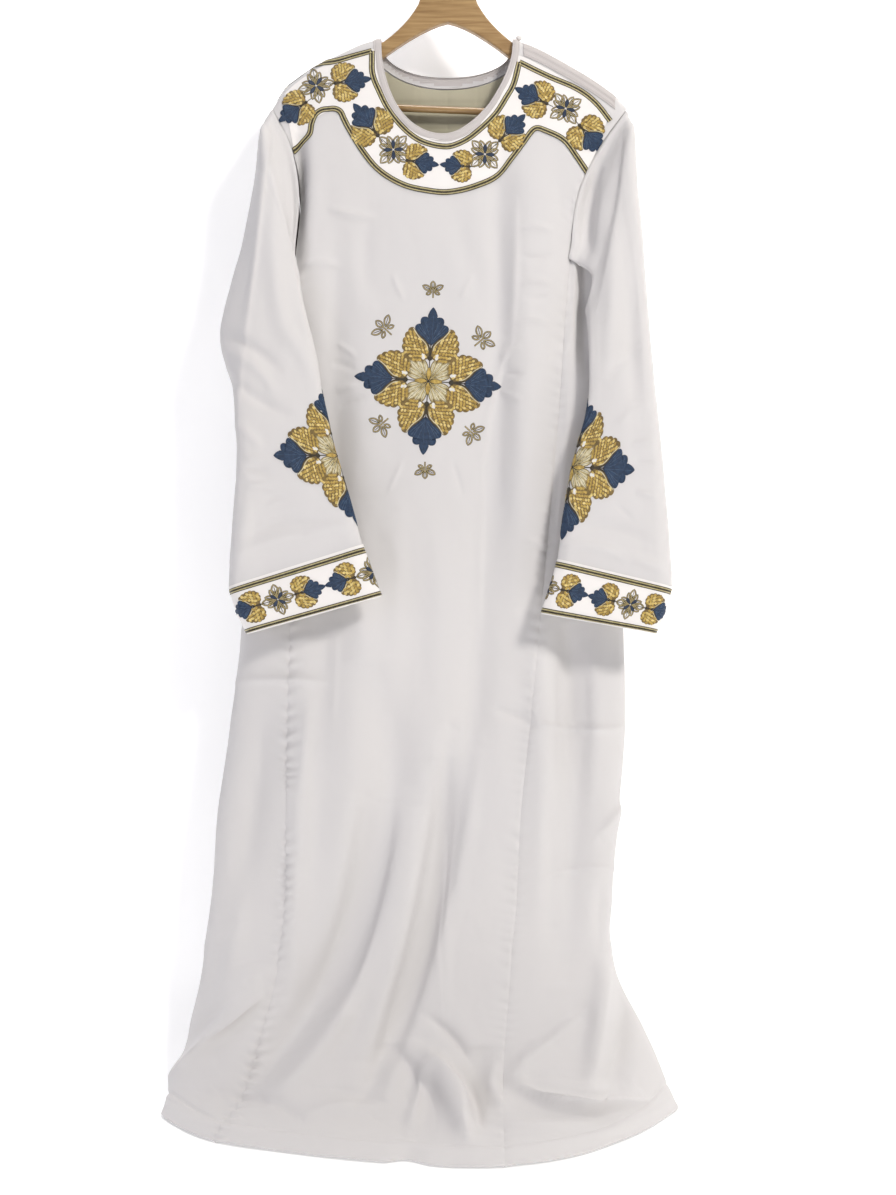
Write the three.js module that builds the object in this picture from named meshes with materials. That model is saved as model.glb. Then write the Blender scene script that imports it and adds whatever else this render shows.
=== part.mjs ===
// A long white robe with an embroidered yoke and cuffs, hanging on a wooden clothes hanger.
// Millimetres, +Z up, the front faces -Y and +X is the viewer's right.
// The origin is the inner top of the hanger's hook, where a rod or a wall hook carries it.
// The robe is longer than the drop to the floor, so its hem lies forward on the floor.
import * as THREE from "three";

// Driving sizes
const CLOTH = 1.6; // wall of the cloth
const HALF_GAP = 0.15; // each side of a seam keeps this much back
const FLOOR_Z = -1496; // the floor, below the hook
const FOOT_RISE = 190; // height above the floor where the skirt starts to swing forward
const FOOT_SQUARE = 2.5; // how sharply the skirt turns from hanging to lying
const UNDERARM_Z = -436; // the bottom of the armholes
const SHOULDER_ROUND = 10; // radius of the cloth where it bends over the hanger
const LAYER_LIFT = 10; // height of the upper layer of the hem over the lower one
const LAYER_BACK = 12; // how far behind the upper layer's hem the lower one's ends
const NECK_HALF = 95; // half width of the neck at the outer edge of its binding
const NECK_FRONT_Z = -290; // lowest point of the front neckline, outside its binding
const NECK_BACK_Z = -206; // lowest point of the back neckline, outside its binding
const NECK_SQUARE = 2.15; // fullness of the neckline's curve
const BINDING_WIDTH = { side: 10, middle: 14 };
const BINDING_PROUD = 1.2; // the binding is a doubled strip, thicker than the cloth
const YOKE_LIFT = 0.8; // gap between a piece and the faceted panel that it lies on
const YOKE_WALL = 1.2;

// The body by height. left and right are its outer edges, seamL and seamR the edges of the
// front panel, backL and backR those of the back panel. depth is half the front to back size.
// Below FLOOR_Z + FOOT_RISE the height is the one that the row would have if it hung on.
const BODY = [
  { z: -238, left: -225, seamL: -224, seamR: 229, right: 231, backL: -224, backR: 229, depth: 19 },
  { z: -290, left: -225, seamL: -199, seamR: 193, right: 225, backL: -202, backR: 200, depth: 23 },
  { z: -353, left: -216, seamL: -188, seamR: 164, right: 206, backL: -192, backR: 184, depth: 25 },
  { z: -436, left: -214, seamL: -194, seamR: 154, right: 201, backL: -190, backR: 166, depth: 26 },
  { z: -526, left: -231, seamL: -195, seamR: 147, right: 209, backL: -192, backR: 160, depth: 27 },
  { z: -632, left: -243, seamL: -196, seamR: 140, right: 215, backL: -194, backR: 158, depth: 28 },
  { z: -770, left: -253, seamL: -197, seamR: 128, right: 220, backL: -197, backR: 160, depth: 30 },
  { z: -905, left: -262, seamL: -199, seamR: 115, right: 224, backL: -200, backR: 162, depth: 32 },
  { z: -1037, left: -279, seamL: -203, seamR: 102, right: 225, backL: -204, backR: 164, depth: 34 },
  { z: -1134, left: -292, seamL: -204, seamR: 92, right: 217, backL: -210, backR: 165, depth: 35 },
  { z: -1249, left: -302, seamL: -205, seamR: 86, right: 209, backL: -220, backR: 166, depth: 38 },
  { z: -1313, left: -312, seamL: -214, seamR: 79, right: 210, backL: -226, backR: 170, depth: 41 },
  { z: -1360, left: -327, seamL: -232, seamR: 72, right: 244, backL: -232, backR: 176, depth: 43 },
  { z: -1408, left: -339, seamL: -248, seamR: 67, right: 268, backL: -238, backR: 182, depth: 45 },
  { z: -1496, left: -351, seamL: -272, seamR: 64, right: 286, backL: -246, backR: 190, depth: 46 },
];

// The shoulder line from the left tip to the right tip, level across the neck
const SHOULDER = [
  { x: -224, z: -239 },
  { x: -202, z: -207 },
  { x: -138, z: -169 },
  { x: -86, z: -150 },
  { x: 0, z: -146 },
  { x: 86, z: -151 },
  { x: 143, z: -177 },
  { x: 207, z: -218 },
  { x: 229, z: -241 },
];

// How far in front of the hanger the hem lies, from its left corner to its right one
const HEM = [
  { x: -351, reach: 101 },
  { x: -282, reach: 172 },
  { x: -185, reach: 214 },
  { x: -74, reach: 243 },
  { x: 20, reach: 262 },
  { x: 62, reach: 260 },
  { x: 141, reach: 230 },
  { x: 222, reach: 161 },
  { x: 286, reach: 76 },
];

// Large folds of the front. A row runs from (x0, z0) to (x1, z1) as seen from the front, with
// its middle moved sideways by bow. height is outwards, so a trough is negative.
const FRONT_FOLDS = [
  { x0: -62, z0: -1010, x1: -105, z1: -1345, bow: 26, width: 34, height: -15 },
  { x0: -105, z0: -1300, x1: -245, z1: -1478, bow: -22, width: 26, height: -24 },
  { x0: -98, z0: -830, x1: -108, z1: -1290, bow: 12, width: 40, height: 9 },
  { x0: -150, z0: -420, x1: -152, z1: -980, bow: 6, width: 22, height: -6 },
  { x0: 8, z0: -1130, x1: -56, z1: -1452, bow: 18, width: 24, height: -15 },
  { x0: -24, z0: -1180, x1: -86, z1: -1420, bow: 8, width: 22, height: 9 },
  { x0: 48, z0: -640, x1: 18, z1: -1180, bow: 6, width: 24, height: -7 },
  { x0: 62, z0: -300, x1: 66, z1: -760, bow: 4, width: 18, height: -5 },
  { x0: 108, z0: -330, x1: 96, z1: -800, bow: -4, width: 26, height: 7 },
  { x0: -24, z0: -1452, x1: 26, z1: -1560, bow: 6, width: 20, height: 13 },
  { x0: -62, z0: -1452, x1: -28, z1: -1540, bow: 8, width: 16, height: -10 },
  { x0: 40, z0: -1452, x1: 30, z1: -1530, bow: -4, width: 16, height: -10 },
  { x0: -120, z0: -1500, x1: -40, z1: -1555, bow: 4, width: 22, height: -7 },
];

// Large folds of the side panels as seen from the front, in the same terms
const SIDE_FOLDS = [
  { x0: -266, z0: -1358, x1: -372, z1: -1505, bow: -10, width: 26, height: 15 },
  { x0: -300, z0: -1330, x1: -352, z1: -1470, bow: 8, width: 24, height: -12 },
  { x0: 166, z0: -900, x1: 150, z1: -1300, bow: 4, width: 24, height: -12 },
  { x0: 116, z0: -940, x1: 128, z1: -1240, bow: 3, width: 20, height: 7 },
  { x0: 206, z0: -1300, x1: 182, z1: -1500, bow: 4, width: 15, height: 15 },
  { x0: 226, z0: -1330, x1: 205, z1: -1520, bow: 4, width: 15, height: -14 },
  { x0: 66, z0: -1462, x1: 240, z1: -1512, bow: 26, width: 18, height: -15 },
  { x0: 80, z0: -1440, x1: 236, z1: -1482, bow: 18, width: 18, height: 13 },
];

// Large folds of the back, seen from the front through the cloth
const BACK_FOLDS = [
  { x0: -110, z0: -520, x1: -150, z1: -1330, bow: 10, width: 34, height: -12 },
  { x0: -40, z0: -420, x1: -58, z1: -1350, bow: -8, width: 36, height: 10 },
  { x0: 30, z0: -640, x1: 24, z1: -1340, bow: 8, width: 32, height: -12 },
  { x0: 96, z0: -460, x1: 104, z1: -1350, bow: -6, width: 34, height: 9 },
  { x0: 150, z0: -760, x1: 150, z1: -1330, bow: 5, width: 28, height: -9 },
];

// Rings of the left sleeve below its armhole. inX, inZ is the fold nearest the middle of the
// robe, outX, outZ the outermost edge, foldX the crease where the front turns to the outside.
// front and back are the depths of the two layers, and innerX is where the back layer ends.
const SLEEVE_LEFT = [
  { inX: -193, inZ: -438, outX: -236, outZ: -268, foldX: -232, front: -43, back: 12, innerX: -222 },
  { inX: -189, inZ: -456, outX: -247, outZ: -338, foldX: -238, front: -50, back: 16, innerX: -236 },
  { inX: -182, inZ: -492, outX: -262, outZ: -420, foldX: -246, front: -57, back: 12, innerX: -244 },
  { inX: -170, inZ: -540, outX: -286, outZ: -528, foldX: -252, front: -64, back: -6, innerX: -250 },
  { inX: -157, inZ: -606, outX: -266, outZ: -606, foldX: -257, front: -70, back: -26, innerX: -240 },
  { inX: -143, inZ: -672, outX: -260, outZ: -680, foldX: -256, front: -75, back: -36, innerX: -210 },
  { inX: -121, inZ: -746, outX: -264, outZ: -772, foldX: -260, front: -79, back: -40, innerX: -170 },
  { inX: -107, inZ: -797, outX: -268, outZ: -848, foldX: -265, front: -82, back: -43, innerX: -150 },
];
const CUFF_LEFT = [
  { inX: -107, inZ: -797, outX: -268, outZ: -848, foldX: -265, front: -82, back: -43, innerX: -150 },
  { inX: -95, inZ: -832, outX: -258, outZ: -879, foldX: -255, front: -86, back: -43, innerX: -140 },
  { inX: -84, inZ: -860, outX: -245, outZ: -905, foldX: -242, front: -88, back: -43, innerX: -130 },
];
const SLEEVE_RIGHT = [
  { inX: 192, inZ: -438, outX: 234, outZ: -268, foldX: 231, front: -43, back: 14, innerX: 214 },
  { inX: 189, inZ: -462, outX: 236, outZ: -345, foldX: 233, front: -50, back: 16, innerX: 216 },
  { inX: 184, inZ: -500, outX: 243, outZ: -420, foldX: 240, front: -56, back: 14, innerX: 218 },
  { inX: 178, inZ: -552, outX: 250, outZ: -520, foldX: 246, front: -62, back: -2, innerX: 220 },
  { inX: 171, inZ: -612, outX: 256, outZ: -606, foldX: 252, front: -68, back: -24, innerX: 222 },
  { inX: 156, inZ: -694, outX: 263, outZ: -686, foldX: 259, front: -74, back: -36, innerX: 206 },
  { inX: 144, inZ: -760, outX: 270, outZ: -776, foldX: 266, front: -79, back: -40, innerX: 190 },
  { inX: 137, inZ: -815, outX: 274, outZ: -848, foldX: 271, front: -82, back: -43, innerX: 180 },
];
const CUFF_RIGHT = [
  { inX: 137, inZ: -815, outX: 274, outZ: -848, foldX: 271, front: -82, back: -43, innerX: 180 },
  { inX: 127, inZ: -850, outX: 264, outZ: -880, foldX: 261, front: -86, back: -43, innerX: 172 },
  { inX: 116, inZ: -881, outX: 253, outZ: -905, foldX: 250, front: -88, back: -43, innerX: 164 },
];

// Stations of the yoke from its left end to its right one: its upper edge and its lower edge
const YOKE = [
  { topX: -208, topZ: -224, lowX: -196, lowZ: -297 },
  { topX: -194, topZ: -211, lowX: -184, lowZ: -280 },
  { topX: -178, topZ: -200, lowX: -170, lowZ: -257 },
  { topX: -152, topZ: -186, lowX: -152, lowZ: -246 },
  { topX: -122, topZ: -176, lowX: -133, lowZ: -247 },
  { topX: -99, topZ: -169, lowX: -125, lowZ: -267 },
  { topX: -94, topZ: -197, lowX: -115, lowZ: -287 },
  { topX: -84, topZ: -230, lowX: -95, lowZ: -320 },
  { topX: -66, topZ: -262, lowX: -60, lowZ: -340 },
  { topX: -36, topZ: -286, lowX: -30, lowZ: -347 },
  { topX: 0, topZ: -294, lowX: 1, lowZ: -349 },
  { topX: 36, topZ: -286, lowX: 30, lowZ: -344 },
  { topX: 66, topZ: -262, lowX: 55, lowZ: -332 },
  { topX: 84, topZ: -230, lowX: 80, lowZ: -308 },
  { topX: 93, topZ: -203, lowX: 98, lowZ: -285 },
  { topX: 98, topZ: -188, lowX: 112, lowZ: -270 },
  { topX: 126, topZ: -198, lowX: 128, lowZ: -272 },
  { topX: 158, topZ: -214, lowX: 144, lowZ: -281 },
  { topX: 184, topZ: -234, lowX: 160, lowZ: -304 },
  { topX: 203, topZ: -254, lowX: 176, lowZ: -327 },
];
const PLACKET = { fromX: 99, toX: 205, upper: 3, lower: 20, wall: 1 };
const BUTTON = { x: 91, y: -3, z: -146.6, radius: 4, flat: 0.8 };

// The hanger
const HANGER_THICK = 12;
const HANGER_BEVEL = 2;
const HANGER_TOP = -70;
const HANGER_BELOW_CLOTH = 2.8;
const BAR_RADIUS = 4.5;
const BAR_LEFT = { x: -190, z: -230 };
const BAR_RIGHT = { x: 192, z: -246 };
const HOOK_WIRE = 3.6;
const HOOK_RADIUS = 20;
const HOOK_TURN = 0.62 * Math.PI; // how far past its top the hook curls down

const clamp = THREE.MathUtils.clamp;
const lerp = THREE.MathUtils.lerp;

// A smooth curve through the rows of a table: column name at the place value of column key
function along(rows, key, value, name) {
  const step = rows[rows.length - 1][key] > rows[0][key] ? 1 : -1;
  const at = clamp(value * step, rows[0][key] * step, rows[rows.length - 1][key] * step) * step;
  let i = 0;
  while (i < rows.length - 2 && at * step > rows[i + 1][key] * step) i += 1;
  const slope = (k) => {
    const a = rows[Math.max(k - 1, 0)];
    const b = rows[Math.min(k + 1, rows.length - 1)];
    return (b[name] - a[name]) / (b[key] - a[key]);
  };
  const span = rows[i + 1][key] - rows[i][key];
  const t = (at - rows[i][key]) / span;
  const t2 = t * t;
  const t3 = t2 * t;
  return (
    (2 * t3 - 3 * t2 + 1) * rows[i][name] +
    (t3 - 2 * t2 + t) * span * slope(i) +
    (3 * t2 - 2 * t3) * rows[i + 1][name] +
    (t3 - t2) * span * slope(i + 1)
  );
}

// Height of a set of folds at a place seen from the front
function foldHeight(folds, x, z) {
  let height = 0;
  for (const fold of folds) {
    const t = (z - fold.z0) / (fold.z1 - fold.z0);
    if (t > -0.2 && t < 1.15) {
      const middle = lerp(fold.x0, fold.x1, t) + fold.bow * 4 * t * (1 - t);
      const across = (x - middle) / fold.width;
      const ends = Math.sin(Math.PI * clamp((t + 0.2) / 1.35, 0, 1)) ** 0.7;
      height += fold.height * ends * Math.exp(-across * across);
    }
  }
  return height;
}

// The skirt's turn from hanging to lying: how much is left of its depth and of its height
function footTurn(z) {
  const turn = clamp((FLOOR_Z + FOOT_RISE - z) / FOOT_RISE, 0, 1) * (Math.PI / 2);
  return {
    swing: 1 - Math.cos(turn) ** (2 / FOOT_SQUARE),
    drop: Math.sin(turn) ** (2 / FOOT_SQUARE),
  };
}

// A point of the body. x is across, z the nominal height, layer -1 in front to 1 behind, and
// depth is how far that layer stands from the middle.
function bodyPoint(x, z, layer, depth) {
  const hung = layer * depth;
  if (z >= FLOOR_Z + FOOT_RISE) return new THREE.Vector3(x, hung, z);
  const foot = footTurn(z);
  const reach = (LAYER_BACK * (1 + layer)) / 2 - along(HEM, "x", x, "reach");
  const lift = ((1 - layer) / 2) * LAYER_LIFT;
  const y = lerp(hung, reach, foot.swing);
  const height = FLOOR_Z + lift * foot.swing + FOOT_RISE * (1 - foot.drop);
  return new THREE.Vector3(x, y, height);
}

// How far the front or back stands from the middle at a place below the shoulder line
function layerDepth(x, z) {
  const below = along(SHOULDER, "x", x, "z") - z;
  const full = along(BODY, "z", z, "depth");
  if (below <= 0) return 0;
  if (below < SHOULDER_ROUND) {
    return Math.sqrt(SHOULDER_ROUND ** 2 - (SHOULDER_ROUND - below) ** 2);
  }
  return lerp(full, SHOULDER_ROUND, Math.exp(-(below - SHOULDER_ROUND) / 60));
}

// Where a point is seen from the front, as a place for the folds
const EYE_DISTANCE = 2000;
const EYE_Z = -862;
function seen(point) {
  const grow = EYE_DISTANCE / (EYE_DISTANCE + point.y);
  return { x: point.x * grow, z: EYE_Z + (point.z - EYE_Z) * grow };
}

// Adds the folds to a point, outwards: forward while it hangs and up where it lies
function folded(point, z, layer, folds, share) {
  const place = seen(point);
  const height = foldHeight(folds, place.x, place.z) * share;
  const foot = footTurn(z);
  const lying = foot.swing;
  const edge = clamp((FLOOR_Z + FOOT_RISE - z) / FOOT_RISE, 0, 1) ** 8;
  point.y += layer * height * (1 - lying);
  if (layer < 0) point.z += (Math.max(height, -3) + 9 * lying * (1 - lying)) * lying * (1 - edge);
  return point;
}

function frontPoint(x, z) {
  const point = bodyPoint(x, z, -1, layerDepth(x, z));
  const share = clamp((along(SHOULDER, "x", x, "z") - z - 60) / 120, 0, 1);
  return folded(point, z, -1, [...FRONT_FOLDS, ...SIDE_FOLDS], share);
}

function backPoint(x, z) {
  const point = bodyPoint(x, z, 1, layerDepth(x, z));
  const share = clamp((along(SHOULDER, "x", x, "z") - z - 60) / 120, 0, 1);
  const hanging = clamp((z - FLOOR_Z - FOOT_RISE) / 60, 0, 1);
  return folded(point, z, 1, BACK_FOLDS, share * hanging);
}

// A side panel's point: turn 0 at the front seam, 1 at the back seam. side is -1 left, 1 right.
function sidePoint(side, turn, z) {
  const angle = turn * Math.PI;
  const front = along(BODY, "z", z, side < 0 ? "seamL" : "seamR") + side * HALF_GAP;
  const back = along(BODY, "z", z, side < 0 ? "backL" : "backR") + side * HALF_GAP;
  const edge = along(BODY, "z", z, side < 0 ? "left" : "right");
  const seam = turn < 0.5 ? front : back;
  const x = lerp(seam, edge, Math.sin(angle) ** 0.8);
  const layer = -Math.sign(Math.cos(angle)) * Math.abs(Math.cos(angle)) ** 0.8;
  const point = bodyPoint(x, z, layer, along(BODY, "z", z, "depth"));
  const rows = layer < 0 ? [...FRONT_FOLDS, ...SIDE_FOLDS] : BACK_FOLDS;
  const hanging = clamp((z - FLOOR_Z - FOOT_RISE) / 60, 0, 1);
  const share = Math.abs(layer) * (layer < 0 ? 1 : hanging);
  return folded(point, z, layer < 0 ? -1 : 1, rows, share);
}

// Outward normals of a grid of points, by the differences of neighbours. A panel's side edges
// have none of it sideways, so two panels keep their gap at a seam.
function gridNormals(grid, closed) {
  const rows = grid.length;
  const cols = grid[0].length;
  return grid.map((row, j) =>
    row.map((point, i) => {
      const next = closed ? (i + 1) % cols : Math.min(i + 1, cols - 1);
      const last = closed ? (i + cols - 1) % cols : Math.max(i - 1, 0);
      const across = row[next].clone().sub(row[last]);
      const down = grid[Math.min(j + 1, rows - 1)][i].clone().sub(grid[Math.max(j - 1, 0)][i]);
      const normal = down.cross(across);
      if (!closed && (i === 0 || i === cols - 1)) normal.x = 0;
      return normal.normalize();
    }),
  );
}

// A closed wall from a grid whose rows run down and whose columns run with the front's +X.
// near and far are how far its two faces lie outwards of the grid.
function wall(grid, near, far, closed = false, firstNormals = null) {
  const rows = grid.length;
  const cols = grid[0].length;
  const normals = gridNormals(grid, closed);
  if (firstNormals) normals[0] = firstNormals;
  const points = [];
  for (const offset of [far, near]) {
    for (let j = 0; j < rows; j += 1) {
      for (let i = 0; i < cols; i += 1) {
        points.push(...grid[j][i].clone().addScaledVector(normals[j][i], offset).toArray());
      }
    }
  }
  const outer = (j, i) => j * cols + (i % cols);
  const inner = (j, i) => rows * cols + outer(j, i);
  const faces = [];
  const quad = (a, b, c, d) => faces.push(a, b, c, a, c, d);
  const lastCol = closed ? cols : cols - 1;
  for (let j = 0; j < rows - 1; j += 1) {
    for (let i = 0; i < lastCol; i += 1) {
      quad(outer(j, i), outer(j + 1, i), outer(j + 1, i + 1), outer(j, i + 1));
      quad(inner(j, i), inner(j, i + 1), inner(j + 1, i + 1), inner(j + 1, i));
    }
  }
  for (let i = 0; i < lastCol; i += 1) {
    quad(outer(0, i), outer(0, i + 1), inner(0, i + 1), inner(0, i));
    quad(outer(rows - 1, i + 1), outer(rows - 1, i), inner(rows - 1, i), inner(rows - 1, i + 1));
  }
  if (!closed) {
    for (let j = 0; j < rows - 1; j += 1) {
      quad(outer(j + 1, 0), outer(j, 0), inner(j, 0), inner(j + 1, 0));
      quad(outer(j, cols - 1), outer(j + 1, cols - 1), inner(j + 1, cols - 1), inner(j, cols - 1));
    }
  }
  const geometry = new THREE.BufferGeometry();
  geometry.setAttribute("position", new THREE.Float32BufferAttribute(points, 3));
  geometry.setIndex(faces);
  geometry.computeVertexNormals();
  return geometry;
}

const robe = new THREE.Group();
function add(name, geometry, color, roughness) {
  const mesh = new THREE.Mesh(geometry, new THREE.MeshStandardMaterial({ color, roughness }));
  mesh.name = name;
  robe.add(mesh);
}
const WHITE = 0xe6e2dd;
const BRIGHT = 0xf0edea;
const BEIGE = 0xc8c5b2;
const WOOD = 0xbe9b64;
const STEEL = 0xb9bcc0;

// Height of the neckline at x, outside the binding when inset is 0
function neckline(x, lowest, inset) {
  const half = NECK_HALF - inset;
  const rim = along(SHOULDER, "x", x, "z");
  const across = Math.min(Math.abs(x) / half, 1);
  return lerp(rim, lowest + inset, (1 - across ** NECK_SQUARE) ** (1 / NECK_SQUARE));
}

// The stations of the neck's edge, from its left point to its right one: closer at both ends,
// where the cloth bends over the hanger
function neckStation(i, steps) {
  const eased = (1 - Math.cos((Math.PI * i) / steps)) / 2;
  return -Math.cos(Math.PI * eased);
}

// Where a panel's columns stand at its top edge
function panelColumns(shoulderCols, neckCols) {
  const left = along(BODY, "z", 0, "seamL");
  const right = along(BODY, "z", 0, "seamR");
  const places = [];
  for (let i = 0; i <= shoulderCols; i += 1) places.push(lerp(left, -NECK_HALF, i / shoulderCols));
  for (let i = 1; i < neckCols; i += 1) places.push(NECK_HALF * neckStation(i, neckCols));
  for (let i = 0; i <= shoulderCols; i += 1) places.push(lerp(NECK_HALF, right, i / shoulderCols));
  return places;
}

// Heights of a panel's rows below its top edge: closer where the cloth bends over the hanger,
// then to the underarm, to the foot and along it
const TOP_ROWS = 11;
const HUNG_ROWS = 12;
const FOOT_ROWS = 9;
function rowHeight(j, top) {
  if (j <= 2) return top - SHOULDER_ROUND * [0.002, 0.3, 1][j];
  if (j <= TOP_ROWS) return lerp(top - SHOULDER_ROUND, UNDERARM_Z, (j - 2) / (TOP_ROWS - 2));
  const below = j - TOP_ROWS;
  if (below <= HUNG_ROWS) return lerp(UNDERARM_Z, FLOOR_Z + FOOT_RISE, below / HUNG_ROWS);
  return FLOOR_Z + FOOT_RISE * (1 - (below - HUNG_ROWS) / FOOT_ROWS);
}

// The grid of the front or back panel, from its top edge to the hem
function panelGrid({ leftName, rightName, lowest, pointAt, shoulderCols, neckCols }) {
  const columns = panelColumns(shoulderCols, neckCols);
  const last = columns.length - 1;
  const grid = [];
  for (let j = 0; j <= TOP_ROWS + HUNG_ROWS + FOOT_ROWS; j += 1) {
    const even = clamp((j - 2) / (TOP_ROWS - 2), 0, 1);
    const row = columns.map((topX, i) => {
      const neck = Math.abs(topX) < NECK_HALF;
      const top = neck ? neckline(topX, lowest, 0) : along(SHOULDER, "x", topX, "z");
      const z = rowHeight(j, top);
      const left = along(BODY, "z", z, leftName) + HALF_GAP;
      const right = along(BODY, "z", z, rightName) - HALF_GAP;
      const share = (topX - columns[0]) / (columns[last] - columns[0]);
      const start = neck ? topX : lerp(left, right, share);
      return pointAt(lerp(start, lerp(left, right, i / last), even), z);
    });
    grid.push(row);
  }
  return grid;
}

const FRONT_NECK_COLS = 16;
const BACK_NECK_COLS = 10;
const frontGrid = panelGrid({
  leftName: "seamL",
  rightName: "seamR",
  lowest: NECK_FRONT_Z,
  pointAt: frontPoint,
  shoulderCols: 5,
  neckCols: FRONT_NECK_COLS,
});
for (const point of frontGrid[0]) point.y = Math.min(point.y, -HALF_GAP);
add("front_panel", wall(frontGrid, 0, CLOTH), WHITE, 0.75);

const backGrid = panelGrid({
  leftName: "backL",
  rightName: "backR",
  lowest: NECK_BACK_Z,
  pointAt: backPoint,
  shoulderCols: 4,
  neckCols: BACK_NECK_COLS,
});
for (const point of backGrid[0]) point.y = Math.max(point.y, HALF_GAP);
add("back_panel", wall(backGrid.map((row) => row.slice().reverse()), 0, CLOTH), WHITE, 0.75);

// Side panels from the underarm to the hem
const SIDE_TURNS = 12;
for (const side of [-1, 1]) {
  const grid = [];
  for (let j = TOP_ROWS; j <= TOP_ROWS + HUNG_ROWS + FOOT_ROWS; j += 1) {
    const z = rowHeight(j, 0);
    const row = [];
    for (let i = 0; i <= SIDE_TURNS; i += 1) row.push(sidePoint(side, i / SIDE_TURNS, z));
    grid.push(side < 0 ? row.reverse() : row);
  }
  add(side < 0 ? "side_panel_left" : "side_panel_right", wall(grid, 0, CLOTH), WHITE, 0.75);
}

// One ring of a sleeve: round from its outer edge, along the front to the inner fold and back
const SLEEVE_SPAN = 14; // points along each layer
function sleeveRing(row) {
  const tilt = (x) => lerp(row.outZ, row.inZ, clamp((x - row.outX) / (row.inX - row.outX), 0, 1));
  const corner = (x, y) => new THREE.Vector3(x, y, tilt(x));
  const mid = (row.front + row.back) / 2;
  const inner = Math.sign(row.inX - row.outX);
  const path = new THREE.CatmullRomCurve3(
    [
      corner(row.outX, mid + 6),
      corner(row.foldX, row.front + 3),
      corner(lerp(row.foldX, row.inX, 0.3), row.front),
      corner(lerp(row.foldX, row.inX, 0.75), row.front + 2),
      corner(row.inX - inner * 2, row.front + 6),
      corner(row.inX, row.front + 11),
      corner(lerp(row.inX, row.innerX, 0.62), lerp(row.front, row.back, 0.28)),
      corner(lerp(row.inX, row.innerX, 0.96), lerp(row.front, row.back, 0.62)),
      corner(row.innerX, row.back),
      corner(lerp(row.innerX, row.outX, 0.55), row.back + 1),
    ],
    true,
    "centripetal",
  );
  const points = path.getSpacedPoints(2 * SLEEVE_SPAN).slice(0, 2 * SLEEVE_SPAN);
  return points;
}

// The armhole's loop: down the front panel's edge, round under the arm and up the back, at the
// panels' own stations and with their normals
const UNDER_STEPS = 6;
function armholeRing(side) {
  const out = side * 2.6 * HALF_GAP;
  const ring = [];
  const normals = [];
  const station = (point, normal) => {
    ring.push(new THREE.Vector3(point.x + out, point.y, point.z));
    normals.push(normal);
  };
  const edge = (grid, j) => grid[j][side < 0 ? 0 : grid[j].length - 1];
  const slope = (grid, j, face) => {
    const down = edge(grid, j + 1).clone().sub(edge(grid, Math.max(j - 1, 0)));
    return new THREE.Vector3(0, face * -down.z, face * down.y).normalize();
  };
  station(edge(frontGrid, 0), new THREE.Vector3(0, 0, 1));
  for (let j = 1; j < TOP_ROWS; j += 1) station(edge(frontGrid, j), slope(frontGrid, j, -1));
  for (let i = 0; i <= UNDER_STEPS; i += 1) {
    const turn = (Math.PI * i) / UNDER_STEPS;
    const point = sidePoint(side, i / UNDER_STEPS, UNDERARM_Z);
    point.z += 4 * HALF_GAP;
    station(point, new THREE.Vector3(side * Math.sin(turn), -Math.cos(turn), 0));
  }
  for (let j = TOP_ROWS - 1; j > 0; j -= 1) station(edge(backGrid, j), slope(backGrid, j, 1));
  return { ring, normals };
}

// A tube through table rows, with rings added between them
function tubeRings(rows, between) {
  const rings = [];
  const keys = Object.keys(rows[0]);
  const numbered = rows.map((row, at) => ({ ...row, at }));
  for (let j = 0; j <= (rows.length - 1) * between; j += 1) {
    const row = {};
    for (const key of keys) row[key] = along(numbered, "at", j / between, key);
    rings.push(sleeveRing(row));
  }
  return rings;
}

// The sleeve's head goes from the armhole to its first ring, drawn in behind the front fold
function sleeveGrid(armhole, rows) {
  const rings = tubeRings(rows, 2);
  const head = [armhole];
  for (const [share, tuck] of [[0.35, 7], [0.7, 4]]) {
    head.push(
      armhole.map((point, i) => {
        const mixed = point.clone().lerp(rings[0][i], share);
        const shelter = Math.sin((Math.PI * i) / SLEEVE_SPAN);
        if (i > 0 && i < SLEEVE_SPAN) mixed.y += tuck * shelter;
        return mixed;
      }),
    );
  }
  return [...head, ...rings];
}

const tubeOrder = (grid, side) => (side < 0 ? grid : grid.map((ring) => ring.slice().reverse()));
for (const [side, name, sleeve, cuff] of [
  [-1, "left", SLEEVE_LEFT, CUFF_LEFT],
  [1, "right", SLEEVE_RIGHT, CUFF_RIGHT],
]) {
  const armhole = armholeRing(side);
  const grid = sleeveGrid(armhole.ring, sleeve);
  for (const point of grid[grid.length - 1]) point.z += 2 * HALF_GAP;
  const normals = side < 0 ? armhole.normals : armhole.normals.slice().reverse();
  const solid = wall(tubeOrder(grid, side), 0, CLOTH, true, normals);
  add(`sleeve_${name}`, solid, WHITE, 0.75);
  add(`cuff_${name}`, wall(tubeOrder(tubeRings(cuff, 1), side), 0, 2.2, true), BRIGHT, 0.7);
}

// The yoke lies on the front panel's outer points
const YOKE_ROWS = 3;
const yokeGrid = [];
for (let j = 0; j <= YOKE_ROWS; j += 1) {
  const t = j / YOKE_ROWS;
  yokeGrid.push(
    YOKE.map((place) => frontPoint(lerp(place.topX, place.lowX, t), lerp(place.topZ, place.lowZ, t))),
  );
}
add("yoke", wall(yokeGrid, CLOTH + YOKE_LIFT, CLOTH + YOKE_LIFT + YOKE_WALL), BRIGHT, 0.7);

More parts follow.
